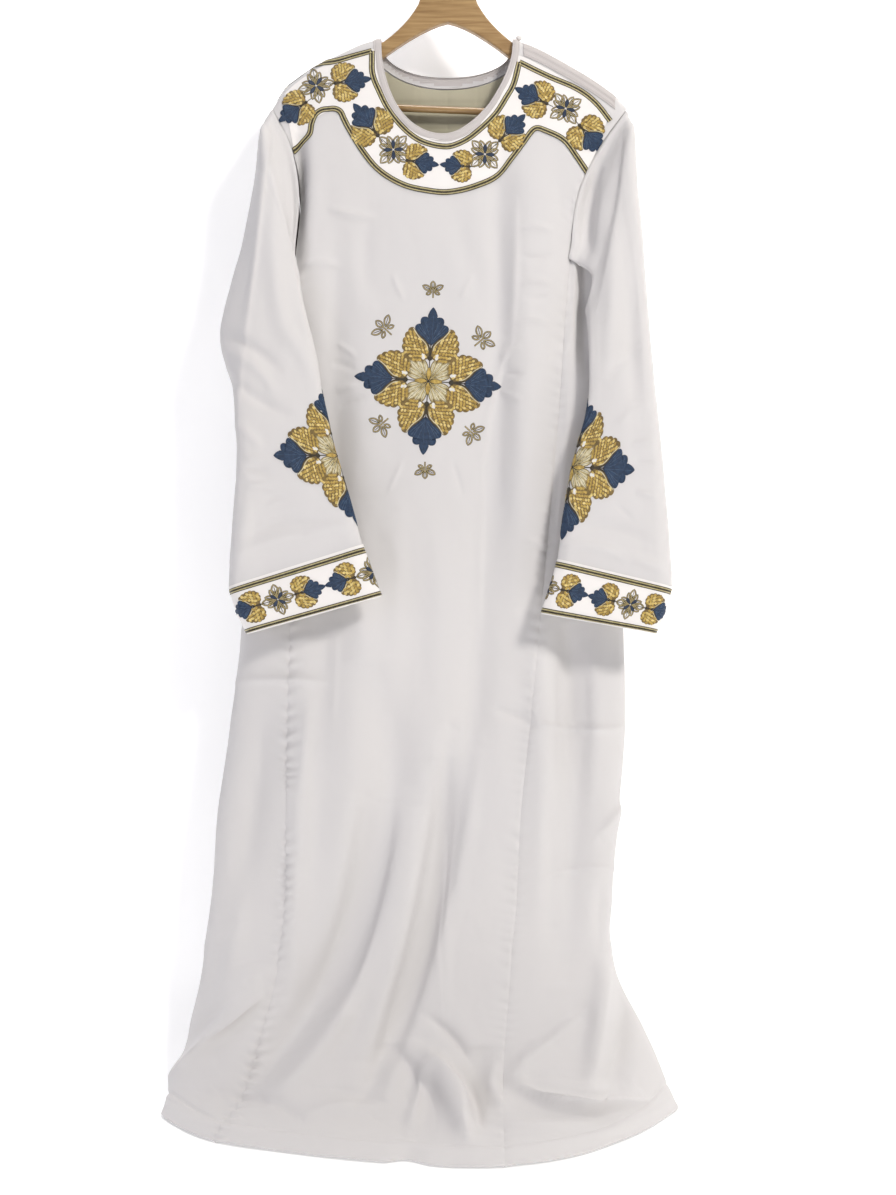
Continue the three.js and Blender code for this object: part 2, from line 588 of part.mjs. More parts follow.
// The binding runs round the neck, over both shoulders, just inside the panels' edges and at
// the stations of their columns
function bindingRing(share) {
  const ring = [];
  for (const [steps, from, lowest, pointAt] of [
    [FRONT_NECK_COLS, -1, NECK_FRONT_Z, frontPoint],
    [BACK_NECK_COLS, 1, NECK_BACK_Z, backPoint],
  ]) {
    for (let i = 0; i < steps; i += 1) {
      const across = -from * neckStation(i, steps);
      const inset = lerp(BINDING_WIDTH.middle, BINDING_WIDTH.side, across ** 2) * share;
      const x = across * (NECK_HALF - inset);
      ring.push(pointAt(x, neckline(x, lowest, inset) - 0.02));
    }
  }
  return ring;
}
const bindingGrid = [1, 0.5, 0.06].map(bindingRing);
add("neck_binding", wall(bindingGrid, 0, CLOTH + BINDING_PROUD, true), BRIGHT, 0.7);

// The shoulder placket lies on the front panel along the right shoulder, and its button
const placketGrid = [PLACKET.upper, (PLACKET.upper + PLACKET.lower) / 2, PLACKET.lower].map((drop) => {
  const row = [];
  for (let i = 0; i <= 10; i += 1) {
    const x = lerp(PLACKET.fromX, PLACKET.toX, i / 10);
    row.push(frontPoint(x, along(SHOULDER, "x", x, "z") - drop));
  }
  return row;
});
const placketNear = CLOTH + YOKE_LIFT + 0.15;
add("shoulder_placket", wall(placketGrid, placketNear, placketNear + PLACKET.wall), BRIGHT, 0.7);
const button = new THREE.SphereGeometry(BUTTON.radius, 12, 8);
button.scale(1, 1, BUTTON.flat);
button.translate(BUTTON.x, BUTTON.y, BUTTON.z);
add("placket_button", button, BRIGHT, 0.5);

// The back facing hangs inside the back panel, below the binding
const FACING = { half: 92, lowZ: -335, inside: 2.6 };
const facingGrid = [];
for (let j = 0; j <= 4; j += 1) {
  const row = [];
  for (let i = 0; i <= 12; i += 1) {
    const x = lerp(FACING.half, -FACING.half, i / 12);
    const edge = Math.min(Math.abs(x), NECK_HALF - 0.5);
    const top = Math.min(neckline(edge, NECK_BACK_Z, 0), along(SHOULDER, "x", x, "z") - 34) - 2;
    row.push(backPoint(x, lerp(top, FACING.lowZ, j / 4)));
  }
  facingGrid.push(row);
}
add("back_facing", wall(facingGrid, -FACING.inside, -FACING.inside + 1.2), BEIGE, 0.8);

// The hanger's wooden body, a flat board under the shoulder line with its ends turned down
const board = new THREE.Shape();
const underCloth = (x) => along(SHOULDER, "x", x, "z") - HANGER_BELOW_CLOTH;
board.moveTo(-14, HANGER_TOP);
board.quadraticCurveTo(-30, HANGER_TOP - 8, -38, -104);
board.quadraticCurveTo(-52, -130, -82, underCloth(-86) + 1);
for (const x of [-90, -115, -140, -170, -195]) board.lineTo(x, underCloth(x) - 0.5);
board.quadraticCurveTo(-214, -232, -213, -246);
board.quadraticCurveTo(-204, -256, BAR_LEFT.x - 4, -246);
board.lineTo(BAR_LEFT.x - 4, -222);
board.quadraticCurveTo(-160, -206, -83, -172);
board.quadraticCurveTo(-30, -133, 0, -127);
board.quadraticCurveTo(30, -133, 79, -172);
board.quadraticCurveTo(160, -212, BAR_RIGHT.x + 4, -232);
board.lineTo(BAR_RIGHT.x + 4, -258);
board.quadraticCurveTo(206, -266, 215, -256);
board.quadraticCurveTo(216, -240, 198, underCloth(198));
for (const x of [172, 145, 120, 90]) board.lineTo(x, underCloth(x) - 0.5);
board.lineTo(82, underCloth(86) + 1);
board.quadraticCurveTo(52, -130, 38, -104);
board.quadraticCurveTo(30, HANGER_TOP - 8, 14, HANGER_TOP);
const boardSolid = new THREE.ExtrudeGeometry(board, {
  depth: HANGER_THICK - 2 * HANGER_BEVEL,
  bevelThickness: HANGER_BEVEL,
  bevelSize: HANGER_BEVEL,
  bevelOffset: -HANGER_BEVEL,
  bevelSegments: 2,
  curveSegments: 6,
});
boardSolid.translate(0, 0, -(HANGER_THICK - 2 * HANGER_BEVEL) / 2);
boardSolid.rotateX(Math.PI / 2);
add("hanger_body", boardSolid, WOOD, 0.45);

// The trouser bar between the board's turned down ends
const barStart = new THREE.Vector3(BAR_LEFT.x, 0, BAR_LEFT.z);
const barEnd = new THREE.Vector3(BAR_RIGHT.x, 0, BAR_RIGHT.z);
const bar = new THREE.CylinderGeometry(BAR_RADIUS, BAR_RADIUS, barStart.distanceTo(barEnd) + 7, 20);
bar.rotateZ(Math.PI / 2);
const barTilt = Math.atan2(barEnd.z - barStart.z, barEnd.x - barStart.x);
bar.rotateY(-barTilt);
bar.translate((barStart.x + barEnd.x) / 2, 0, (barStart.z + barEnd.z) / 2);
add("hanger_bar", bar, WOOD, 0.4);

// The wire hook: up from the board, round its bend, with the origin at the bend's inner top
const hookPoints = [];
const bendZ = -HOOK_RADIUS + HOOK_WIRE / 2;
hookPoints.push(new THREE.Vector3(0, 0, HANGER_TOP + 0.3));
hookPoints.push(new THREE.Vector3(0, 0, HANGER_TOP + 8));
hookPoints.push(new THREE.Vector3(-4, 0, bendZ - HOOK_RADIUS + 2));
for (let i = 0; i <= 14; i += 1) {
  const angle = lerp(1.22 * Math.PI, Math.PI / 2 - HOOK_TURN, i / 14);
  hookPoints.push(
    new THREE.Vector3(HOOK_RADIUS * Math.cos(angle), 0, bendZ + HOOK_RADIUS * Math.sin(angle)),
  );
}
const wireSection = new THREE.Shape();
wireSection.absarc(0, 0, HOOK_WIRE / 2, 0, 2 * Math.PI);
const hook = new THREE.ExtrudeGeometry(wireSection, {
  steps: 26,
  curveSegments: 4,
  extrudePath: new THREE.CatmullRomCurve3(hookPoints),
});
add("hanger_hook", hook, STEEL, 0.3);

export default robe;
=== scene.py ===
import math

import bpy
import numpy as np
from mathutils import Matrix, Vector


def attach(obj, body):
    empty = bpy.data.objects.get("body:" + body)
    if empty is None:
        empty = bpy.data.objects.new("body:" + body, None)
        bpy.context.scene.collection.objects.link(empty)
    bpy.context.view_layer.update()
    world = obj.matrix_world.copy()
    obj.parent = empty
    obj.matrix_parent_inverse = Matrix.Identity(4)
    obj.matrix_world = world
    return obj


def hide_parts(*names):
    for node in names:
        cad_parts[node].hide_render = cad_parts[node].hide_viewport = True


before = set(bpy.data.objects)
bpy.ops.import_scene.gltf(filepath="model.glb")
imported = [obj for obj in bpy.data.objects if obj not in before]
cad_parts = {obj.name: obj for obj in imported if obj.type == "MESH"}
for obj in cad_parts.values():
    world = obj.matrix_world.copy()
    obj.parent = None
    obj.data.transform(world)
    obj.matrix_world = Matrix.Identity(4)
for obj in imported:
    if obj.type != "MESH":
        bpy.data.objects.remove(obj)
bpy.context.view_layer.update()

MM = 0.001
CLOTH = 1.6
HALF_GAP = 0.15
FLOOR_Z = -1496.0
FOOT_RISE = 190.0
FOOT_SQUARE = 2.5
UNDERARM_Z = -436.0
SHOULDER_ROUND = 10.0
LAYER_LIFT = 10.0
LAYER_BACK = 34.0
HEM_DROOP = 34.0
NECK_HALF = 95.0
NECK_FRONT_Z = -290.0
NECK_BACK_Z = -206.0
NECK_SQUARE = 2.15
BINDING_SIDE = 10.0
BINDING_MIDDLE = 14.0
EYE_DISTANCE = 2000.0
EYE_Z = -862.0
FOCAL = 1562.0  # the camera's focal length in photo pixels
PIXEL = FOCAL / EYE_DISTANCE  # photo pixels a millimetre at the hanger
PHOTO_TALL = 1195
PHOTO_X = 448.0
PHOTO_Y = 597.5
HEM_STITCH = 36.0  # how far up the hem its stitch line is
FOLD_GAIN = 1.3
CREASE = 1.7  # how much stronger the placed creases are than their rows say


def table(names, rows):
    return dict(zip(names.split(), np.array(rows, float).T))


BODY = table(
    "z left seamL seamR right backL backR depth",
    [
        (-238, -225, -224, 229, 231, -224, 229, 19),
        (-290, -225, -199, 193, 225, -202, 200, 23),
        (-353, -216, -188, 164, 206, -192, 184, 25),
        (-436, -214, -194, 154, 201, -190, 166, 26),
        (-526, -231, -195, 147, 209, -192, 160, 27),
        (-632, -243, -196, 140, 215, -194, 158, 28),
        (-770, -253, -197, 128, 220, -197, 160, 30),
        (-905, -262, -199, 115, 224, -200, 162, 32),
        (-1037, -279, -203, 102, 225, -204, 164, 34),
        (-1134, -292, -204, 92, 217, -210, 165, 35),
        (-1249, -302, -205, 86, 209, -220, 166, 38),
        (-1313, -312, -214, 79, 210, -226, 170, 41),
        (-1360, -327, -232, 72, 244, -232, 176, 43),
        (-1408, -339, -248, 67, 268, -238, 182, 45),
        (-1496, -351, -272, 64, 286, -246, 190, 46),
    ],
)
SHOULDER = table(
    "x z",
    [
        (-224, -239), (-202, -207), (-138, -169), (-86, -150), (0, -146),
        (86, -151), (143, -177), (207, -218), (229, -241),
    ],
)
HEM = table(
    "x reach",
    [
        (-351, 101), (-282, 172), (-185, 214), (-74, 246), (-46, 240), (-18, 256),
        (20, 262), (62, 260), (141, 230), (222, 161), (286, 76),
    ],
)
FOLD = "x0 z0 x1 z1 bow width height"
FRONT_FOLDS = table(
    FOLD,
    [
        (-84, -1010, -126, -1345, 26, 34, -15),
        (-122, -830, -134, -1290, 12, 40, 9),
        (-150, -420, -152, -980, 6, 22, -6),
        (-6, -1130, -70, -1452, 18, 24, -14),
        (-40, -1180, -100, -1420, 8, 22, 9),
        (48, -640, 18, -1180, 6, 24, -7),
        (62, -300, 66, -760, 4, 18, -5),
        (108, -330, 96, -800, -4, 26, 7),
        (-24, -1452, 26, -1560, 6, 20, 13),
        (-62, -1452, -28, -1540, 8, 16, -10),
        (40, -1452, 30, -1530, -4, 16, -10),
        (-120, -1500, -40, -1555, 4, 22, -7),
    ],
)
SIDE_FOLDS = table(
    FOLD,
    [
        (-266, -1358, -372, -1505, -10, 26, 15),
        (-300, -1330, -352, -1470, 8, 24, -12),
        (166, -900, 150, -1300, 4, 24, -12),
        (116, -940, 128, -1240, 3, 20, 7),
        (206, -1300, 182, -1500, 4, 15, 15),
        (226, -1330, 205, -1520, 4, 15, -14),
    ],
)
BACK_FOLDS = table(
    FOLD,
    [
        (-110, -520, -150, -1330, 10, 34, -12),
        (-40, -420, -58, -1350, -8, 36, 10),
        (30, -640, 24, -1340, 8, 32, -12),
        (96, -460, 104, -1350, -6, 34, 9),
        (150, -760, 150, -1330, 5, 28, -9),
    ],
)
SLEEVE = "inX inZ outX outZ foldX front back innerX"
SLEEVE_LEFT = table(
    SLEEVE,
    [
        (-193, -438, -236, -268, -232, -43, 12, -222),
        (-189, -456, -247, -338, -238, -50, 16, -236),
        (-182, -492, -262, -420, -246, -57, 12, -244),
        (-170, -540, -286, -528, -252, -64, -6, -250),
        (-157, -606, -266, -606, -257, -70, -26, -240),
        (-143, -672, -260, -680, -256, -75, -36, -210),
        (-121, -746, -264, -772, -260, -79, -40, -170),
        (-107, -797, -268, -848, -265, -82, -43, -150),
    ],
)
CUFF_LEFT = table(
    SLEEVE,
    [
        (-107, -797, -268, -848, -265, -82, -43, -150),
        (-95, -832, -258, -879, -255, -86, -43, -140),
        (-84, -860, -245, -905, -242, -88, -43, -130),
    ],
)
SLEEVE_RIGHT = table(
    SLEEVE,
    [
        (174, -500, 234, -268, 231, -46, 14, 214),
        (175, -528, 236, -345, 233, -54, 16, 216),
        (176, -562, 243, -420, 240, -59, 14, 218),
        (176, -602, 250, -520, 246, -62, -2, 220),
        (170, -644, 256, -606, 252, -68, -24, 222),
        (156, -694, 263, -686, 259, -74, -36, 206),
        (144, -760, 270, -776, 266, -79, -40, 190),
        (137, -815, 274, -848, 271, -82, -43, 180),
    ],
)
CUFF_RIGHT = table(
    SLEEVE,
    [
        (137, -815, 274, -848, 271, -82, -43, 180),
        (127, -850, 264, -880, 261, -86, -43, 172),
        (116, -881, 253, -905, 250, -88, -43, 164),
    ],
)
YOKE = table(
    "topX topZ lowX lowZ",
    [
        (-208, -221, -196, -297), (-194, -208, -184, -280), (-178, -197, -170, -257),
        (-152, -183, -152, -246), (-122, -173, -133, -247), (-95, -165, -125, -267),
        (-90.5, -194, -115, -287), (-80, -226, -95, -320), (-62, -256, -60, -340),
        (-34, -278, -30, -347), (0, -281, 1, -349), (33, -268, 30, -344),
        (57, -242, 55, -332), (73, -214, 80, -308), (83, -191, 98, -285),
        (88, -173, 112, -270), (126, -190, 128, -272), (158, -209, 144, -281),
        (184, -229, 160, -304), (205, -248, 176, -327),
    ],
)
# How far the neck binding's edges lie inside the neckline, from the left shoulder to the right
NECK_EDGES = table(
    "across outer inner",
    [
        (-1, 0, 10), (-0.9, 0.2, 10.6), (-0.7, 2, 11), (-0.35, 3, 13.4), (0, 5.2, 16),
        (0.15, 7.6, 18.6), (0.35, 10.4, 22.2), (0.57, 12.6, 23.6), (0.72, 12.4, 22.4),
        (0.83, 11.2, 20.9), (0.92, 8.2, 17.8), (0.97, 5.8, 14.8), (1, 4, 12.5),
    ],
)

# Creases given in pixels of the photo: start, middle and end, half width in pixels,
# height in millimetres outwards, and the kind of its section
STROKE = "x0 y0 x1 y1 x2 y2 width height kind"
SOFT, SHARP, STEP = 0, 1, 2
BODY_STROKES = table(
    STROKE,
    [
        (366, 800, 334, 962, 228, 1104, 16, -11, SOFT),
        (404, 796, 372, 960, 272, 1104, 12, 8, SOFT),
        (450, 728, 420, 934, 360, 1108, 10, -7, SOFT),
        (480, 740, 446, 936, 386, 1096, 9, 4, SOFT),
        (446, 844, 444, 930, 443, 1020, 4, 2, STEP),
        (456, 812, 450, 900, 447, 1020, 4, 1.2, SOFT),
        (426, 1016, 452, 1036, 470, 1062, 5, -3, SHARP),
        (430, 1056, 452, 1092, 468, 1138, 8, 7, SHARP),
        (430, 1060, 420, 1095, 409, 1134, 8, 5, SOFT),
        (446, 1066, 470, 1092, 480, 1134, 6, -4, SOFT),
        (566, 620, 567, 690, 562, 764, 9, -5, SOFT),
        (550, 780, 551, 860, 548, 940, 9, -3, SOFT),
        (494, 708, 516, 716, 536, 725, 4, -1.6, SHARP),
        (534, 724, 580, 729, 626, 726, 4, 1.8, SHARP),
        (540, 878, 580, 868, 616, 868, 4, 1.6, SHARP),
        (596, 834, 612, 814, 624, 794, 6, 4, STEP),
        (534, 1098, 513, 1076, 540, 1036, 7, 9, STEP),
        (644, 1104, 580, 1115, 524, 1094, 4.5, 20, STEP),
        (518, 1070, 546, 1040, 580, 1014, 7, 7, STEP),
        (540, 1084, 580, 1092, 620, 1090, 9, 4, SOFT),
        (500, 1060, 494, 1090, 512, 1116, 8, 4, SOFT),
        (611, 956, 605, 1010, 598, 1064, 8, 4, STEP),
        (268, 992, 216, 1032, 164, 1096, 9, 6, SHARP),
        (246, 984, 206, 1026, 172, 1068, 9, -5, SOFT),
        (236, 682, 284, 679, 332, 683, 4, 1.6, SHARP),
        (310, 696, 307, 744, 304, 792, 6, 1.6, SOFT),
        (337, 616, 338, 680, 334, 744, 8, 1.8, STEP),
        (398, 508, 396, 610, 386, 720, 12, 1.8, SOFT),
        (518, 204, 518, 275, 514, 342, 6, 2.6, STEP),
        (514, 342, 494, 400, 483, 468, 6, 2.6, STEP),
        (483, 462, 482, 540, 481, 624, 7, 2, STEP),
        (548, 200, 548, 300, 534, 420, 12, 2, SOFT),
        (520, 229, 535, 227, 551, 231, 2.6, 0.8, SHARP),
        (521, 256, 536, 258, 552, 255, 2.6, -0.8, SHARP),
        (520, 284, 537, 281, 550, 286, 2.6, 0.9, SHARP),
        (524, 297, 538, 299, 549, 296, 2.4, -0.7, SHARP),
        (516, 323, 534, 320, 548, 326, 2.6, 0.9, SHARP),
        (330, 209, 352, 215, 376, 218, 3, 1.2, SHARP),
        (298, 267, 318, 262, 340, 267, 3, 1, SHARP),
        (336, 344, 347, 349, 357, 358, 2.6, 0.9, SHARP),
        (332, 364, 344, 365, 356, 370, 2.6, -0.9, SHARP),
        (336, 391, 348, 388, 358, 386, 2.6, 0.9, SHARP),
        (340, 408, 352, 402, 366, 398, 2.6, -0.8, SHARP),
        (500, 357, 510, 353, 522, 346, 2.6, 0.9, SHARP),
        (502, 372, 512, 373, 524, 375, 2.6, -0.9, SHARP),
        (500, 392, 510, 395, 522, 400, 2.6, 0.9, SHARP),
        (404, 300, 398, 288, 392, 274, 2.6, 0.7, SHARP),
        (460, 300, 466, 288, 474, 276, 2.6, 0.7, SHARP),
        (402, 462, 396, 476, 388, 492, 2.6, 0.7, SHARP),
        (452, 462, 458, 478, 462, 496, 2.6, -0.7, SHARP),
        (298, 130, 297, 200, 292, 276, 9, -11, SOFT),
        (587, 210, 585, 290, 586, 372, 9, -9, SOFT),
        (572, 198, 572, 290, 563, 356, 5, -3.5, STEP),
        (563, 356, 560, 470, 543, 612, 5, -3.5, STEP),
        (524, 539, 538, 543, 552, 547, 3, 1, SHARP),
        (336, 190, 322, 290, 334, 420, 15, 2, SOFT),
        (372, 200, 366, 250, 372, 300, 10, -1.4, SOFT),
        (452, 210, 470, 262, 486, 330, 11, -1.2, SOFT),
        (352, 500, 346, 580, 352, 680, 12, -1.6, SOFT),
        (430, 510, 440, 600, 428, 700, 12, 1.4, SOFT),
        (304, 640, 300, 820, 288, 1004, 15, 6, SOFT),
        (262, 690, 254, 800, 236, 920, 15, -5, SOFT),
        (246, 860, 236, 940, 214, 1010, 10, 2.4, SOFT),
        (590, 640, 596, 720, 590, 800, 8, 2, SOFT),
        (604, 880, 600, 920, 604, 960, 7, -2.4, SOFT),
        (300, 1120, 340, 1108, 396, 1112, 7, 3, SOFT),
        (200, 1100, 250, 1096, 300, 1120, 7, -3, SOFT),
        (484, 1120, 540, 1128, 600, 1122, 6, 3, SOFT),
    ],
)
LEFT_STROKES = table(
    STROKE,
    [
        (272, 120, 259, 236, 245, 362, 5, 3.5, STEP),
        (245, 358, 241, 400, 242, 446, 5, 2.4, STEP),
        (262, 150, 252, 240, 238, 330, 7, -3, SOFT),
        (222, 338, 250, 346, 280, 372, 6, -2.6, SOFT),
        (226, 352, 254, 366, 276, 396, 6, 2, SOFT),
        (228, 374, 256, 398, 292, 416, 6, -2.4, SOFT),
        (238, 420, 250, 436, 264, 448, 5, 1.6, SOFT),
        (244, 455, 256, 459, 270, 458, 2.6, 1, SHARP),
        (243, 468, 256, 470, 272, 474, 2.6, -1, SHARP),
        (246, 486, 260, 484, 276, 486, 2.6, 1, SHARP),
        (262, 504, 274, 498, 286, 496, 2.6, -0.8, SHARP),
        (286, 330, 300, 350, 316, 388, 8, 2, SOFT),
        (272, 200, 276, 290, 292, 350, 9, 2.4, SOFT),
        (234, 560, 268, 542, 304, 537, 7, 2.6, SOFT),
        (240, 540, 276, 524, 320, 520, 7, -2, SOFT),
        (300, 540, 330, 528, 356, 528, 6, 1.6, SOFT),
        (248, 500, 244, 530, 240, 566, 7, 2, SOFT),
    ],
)
RIGHT_STROKES = table(
    STROKE,
    [
        (598, 304, 618, 206, 628, 122, 7, 4, STEP),
        (596, 150, 589, 210, 588, 258, 7, -6, SOFT),
        (640, 250, 632, 330, 640, 420, 9, -2.4, SOFT),
        (616, 220, 612, 300, 606, 380, 8, 2, SOFT),
        (646, 344, 626, 356, 606, 380, 6, -1.8, SOFT),
        (652, 404, 634, 410, 616, 426, 6, 1.8, SOFT),
        (632, 446, 644, 442, 654, 440, 2.6, 1, SHARP),
        (634, 462, 644, 462, 656, 460, 2.6, -1, SHARP),
        (636, 492, 646, 494, 658, 498, 2.6, 1, SHARP),
        (612, 504, 624, 512, 634, 522, 2.6, -0.8, SHARP),
        (560, 546, 600, 548, 624, 561, 6, 2.6, SOFT),
        (620, 556, 644, 562, 668, 572, 6, 2, SOFT),
        (580, 530, 612, 528, 650, 544, 7, -2, SOFT),
        (594, 420, 590, 440, 582, 452, 6, -2, SOFT),
    ],
)
BACK_STROKES = table(
    STROKE,
    [
        (340, 200, 352, 300, 340, 420, 12, 2.4, SOFT),
        (420, 262, 416, 336, 424, 410, 14, -2.4, SOFT),
        (500, 160, 508, 300, 498, 430, 12, 2.4, SOFT),
        (356, 460, 344, 640, 330, 820, 13, 3, SOFT),
        (420, 480, 426, 660, 418, 860, 12, -3, SOFT),
        (486, 470, 490, 640, 500, 840, 13, 3, SOFT),
        (540, 560, 546, 700, 548, 860, 11, -2.6, SOFT),
        (310, 700, 306, 820, 300, 940, 11, -2.6, SOFT),
        (330, 250, 370, 262, 410, 252, 4, 1.2, SHARP),
        (470, 330, 510, 322, 548, 334, 4, 1.2, SHARP),
        (350, 560, 390, 572, 430, 562, 4, -1.2, SHARP),
        (460, 700, 500, 690, 540, 704, 4, 1.2, SHARP),
        (300, 880, 350, 890, 400, 878, 4, 1.2, SHARP),
    ],
)


def clamp(value, low=0.0, high=1.0):
    return np.clip(value, low, high)


def lerp(a, b, t):
    return a + (b - a) * t


def smooth_through(keys, vals, at):
    """A smooth curve through values, or rows of values, at rising keys."""
    spread = (-1,) + (1,) * (vals.ndim - 1)
    apart = keys.reshape(spread)
    slope = np.empty_like(vals)
    slope[1:-1] = (vals[2:] - vals[:-2]) / (apart[2:] - apart[:-2])
    slope[0] = (vals[1] - vals[0]) / (keys[1] - keys[0])
    slope[-1] = (vals[-1] - vals[-2]) / (keys[-1] - keys[-2])
    i = np.clip(np.searchsorted(keys, at, side="right") - 1, 0, len(keys) - 2)
    span = keys[i + 1] - keys[i]
    t = (at - keys[i]) / span
    if vals.ndim > 1:
        t, span = t.reshape(spread), span.reshape(spread)
    t2, t3 = t * t, t * t * t
    return (
        (2 * t3 - 3 * t2 + 1) * vals[i]
        + (t3 - 2 * t2 + t) * span * slope[i]
        + (3 * t2 - 2 * t3) * vals[i + 1]
        + (t3 - t2) * span * slope[i + 1]
    )


def along(rows, key, value, name):
    """A smooth curve through the rows of a table: column name at the place value of key."""
    keys, vals = rows[key], rows[name]
    if keys[-1] < keys[0]:
        keys, vals = keys[::-1], vals[::-1]
    return smooth_through(keys, vals, np.clip(np.asarray(value, float), keys[0], keys[-1]))


def joined(*tables):
    return {name: np.concatenate([t[name] for t in tables]) for name in tables[0]}


def fold_height(folds, x, z):
    height = np.zeros_like(x)
    for k in range(len(folds["x0"])):
        x0, z0, x1, z1, bow, width, tall = (folds[name][k] for name in FOLD.split())
        t = (z - z0) / (z1 - z0)
        middle = lerp(x0, x1, t) + bow * 4 * t * (1 - t)
        ends = np.sin(math.pi * clamp((t + 0.2) / 1.35)) ** 0.7
        bump = FOLD_GAIN * tall * ends * np.exp(-(((x - middle) / width) ** 2))
        height += np.where((t > -0.2) & (t < 1.15), bump, 0.0)
    return height


def foot_turn(z):
    """How far the foot has swung forward, and how far down it is, from 0 to 1 as z falls."""
    turn = clamp((FLOOR_Z + FOOT_RISE - z) / FOOT_RISE) * (math.pi / 2)
    swing = 1 - clamp(np.cos(turn)) ** (2 / FOOT_SQUARE)
    return swing, np.sin(turn) ** (2 / FOOT_SQUARE)


def body_point(x, z, layer, depth):
    """A point of the smooth body: layer is -1 in front and 1 behind, and z below the foot's top
    runs on along the cloth where it swings forward onto the floor."""
    hung = layer * depth
    swing, drop = foot_turn(z)
    front = (1 - layer) / 2
    edge = along(HEM, "x", x, "reach")
    reach = LAYER_BACK * (1 - front) - edge
    away = clamp((1 - swing) * edge / HEM_DROOP)
    settled = 1 - away * away * (3 - 2 * away)
    lift = front * (LAYER_LIFT - (LAYER_LIFT - 1) * settled)
    low = FLOOR_Z + lift * swing + FOOT_RISE * (1 - drop)
    standing = z >= FLOOR_Z + FOOT_RISE
    y = np.where(standing, hung, lerp(hung, reach, swing))
    return np.stack([x, y, np.where(standing, z, low)], axis=-1)


def layer_depth(x, z):
    """How far the front and back are from the middle: rounded over the shoulder, then the body's."""
    below = along(SHOULDER, "x", x, "z") - z
    full = along(BODY, "z", z, "depth")
    over = np.sqrt(clamp(SHOULDER_ROUND**2 - (SHOULDER_ROUND - below) ** 2, 0, None))
    under = lerp(full, SHOULDER_ROUND, np.exp(-clamp(below - SHOULDER_ROUND, 0, None) / 60))
    return np.where(below <= 0, 0.0, np.where(below < SHOULDER_ROUND, over, under))


def seen(point):
    """Where a point is seen from the front, as a place at the hanger's plane."""
    grow = EYE_DISTANCE / (EYE_DISTANCE + point[..., 1])
    return point[..., 0] * grow, EYE_Z + (point[..., 2] - EYE_Z) * grow


def folded(point, z, forward, height):
    """Moves a layer's points out by the height of its folds, and up where it lies on the floor."""
    swing, _ = foot_turn(z)
    edge = clamp((FLOOR_Z + FOOT_RISE - z) / FOOT_RISE) ** 8
    point[..., 1] += np.where(forward, -1, 1) * height * (1 - swing)
    rise = (np.maximum(height, -3) + 9 * swing * (1 - swing)) * swing * (1 - edge)
    point[..., 2] += np.where(forward, rise, 0.0)
    return point


def fold_shares(x, z):
    """How much of the folds shows: none at the shoulders, and at the back none on the floor."""
    below = clamp((along(SHOULDER, "x", x, "z") - z - 60) / 120)
    return below, clamp((z - FLOOR_Z - FOOT_RISE) / 60)


ALL_FRONT = joined(FRONT_FOLDS, SIDE_FOLDS)


def front_point(x, z):
    x, z = np.broadcast_arrays(np.asarray(x, float), np.asarray(z, float))
    point = body_point(x, z, -1, layer_depth(x, z))
    share, _ = fold_shares(x, z)
    return folded(point, z, True, fold_height(ALL_FRONT, *seen(point)) * share)


def back_point(x, z):
    x, z = np.broadcast_arrays(np.asarray(x, float), np.asarray(z, float))
    point = body_point(x, z, 1, layer_depth(x, z))
    share, hanging = fold_shares(x, z)
    return folded(point, z, False, fold_height(BACK_FOLDS, *seen(point)) * (share * hanging))


def side_point(side, turn, z):
    turn, z = np.broadcast_arrays(np.asarray(turn, float), np.asarray(z, float))
    angle = turn * math.pi
    front = along(BODY, "z", z, "seamL" if side < 0 else "seamR") + side * HALF_GAP
    back = along(BODY, "z", z, "backL" if side < 0 else "backR") + side * HALF_GAP
    edge = along(BODY, "z", z, "left" if side < 0 else "right")
    x = lerp(np.where(turn < 0.5, front, back), edge, clamp(np.sin(angle)) ** 0.8)
    layer = -np.sign(np.cos(angle)) * np.abs(np.cos(angle)) ** 0.8
    point = body_point(x, z, layer, along(BODY, "z", z, "depth"))
    place = seen(point)
    _, hanging = fold_shares(x, z)
    front_height = fold_height(ALL_FRONT, *place) * np.abs(layer)
    back_height = fold_height(BACK_FOLDS, *place) * np.abs(layer) * hanging
    return folded(point, z, layer < 0, np.where(layer < 0, front_height, back_height))


def grid_normals(grid, closed=False):
    """Outward normals of a grid whose rows run down and whose columns run with the front's +X."""
    if closed:
        across = np.roll(grid, -1, axis=1) - np.roll(grid, 1, axis=1)
    else:
        across = np.gradient(grid, axis=1)
    down = np.gradient(grid, axis=0)
    normal = np.cross(down, across)
    length = np.linalg.norm(normal, axis=-1, keepdims=True)
    return normal / np.maximum(length, 1e-9)


def lattice_noise(x, y, seed):
    """Smooth noise from -1 to 1 on a lattice with one cell a unit."""
    size = 64
    values = np.random.default_rng(seed).uniform(-1, 1, (size, size))
    xi, yi = np.floor(x).astype(int), np.floor(y).astype(int)
    fx, fy = x - xi, y - yi
    fx, fy = fx * fx * (3 - 2 * fx), fy * fy * (3 - 2 * fy)

    def at(a, b):
        return values[(xi + a) % size, (yi + b) % size]

    low = lerp(at(0, 0), at(1, 0), fx)
    return lerp(low, lerp(at(0, 1), at(1, 1), fx), fy)


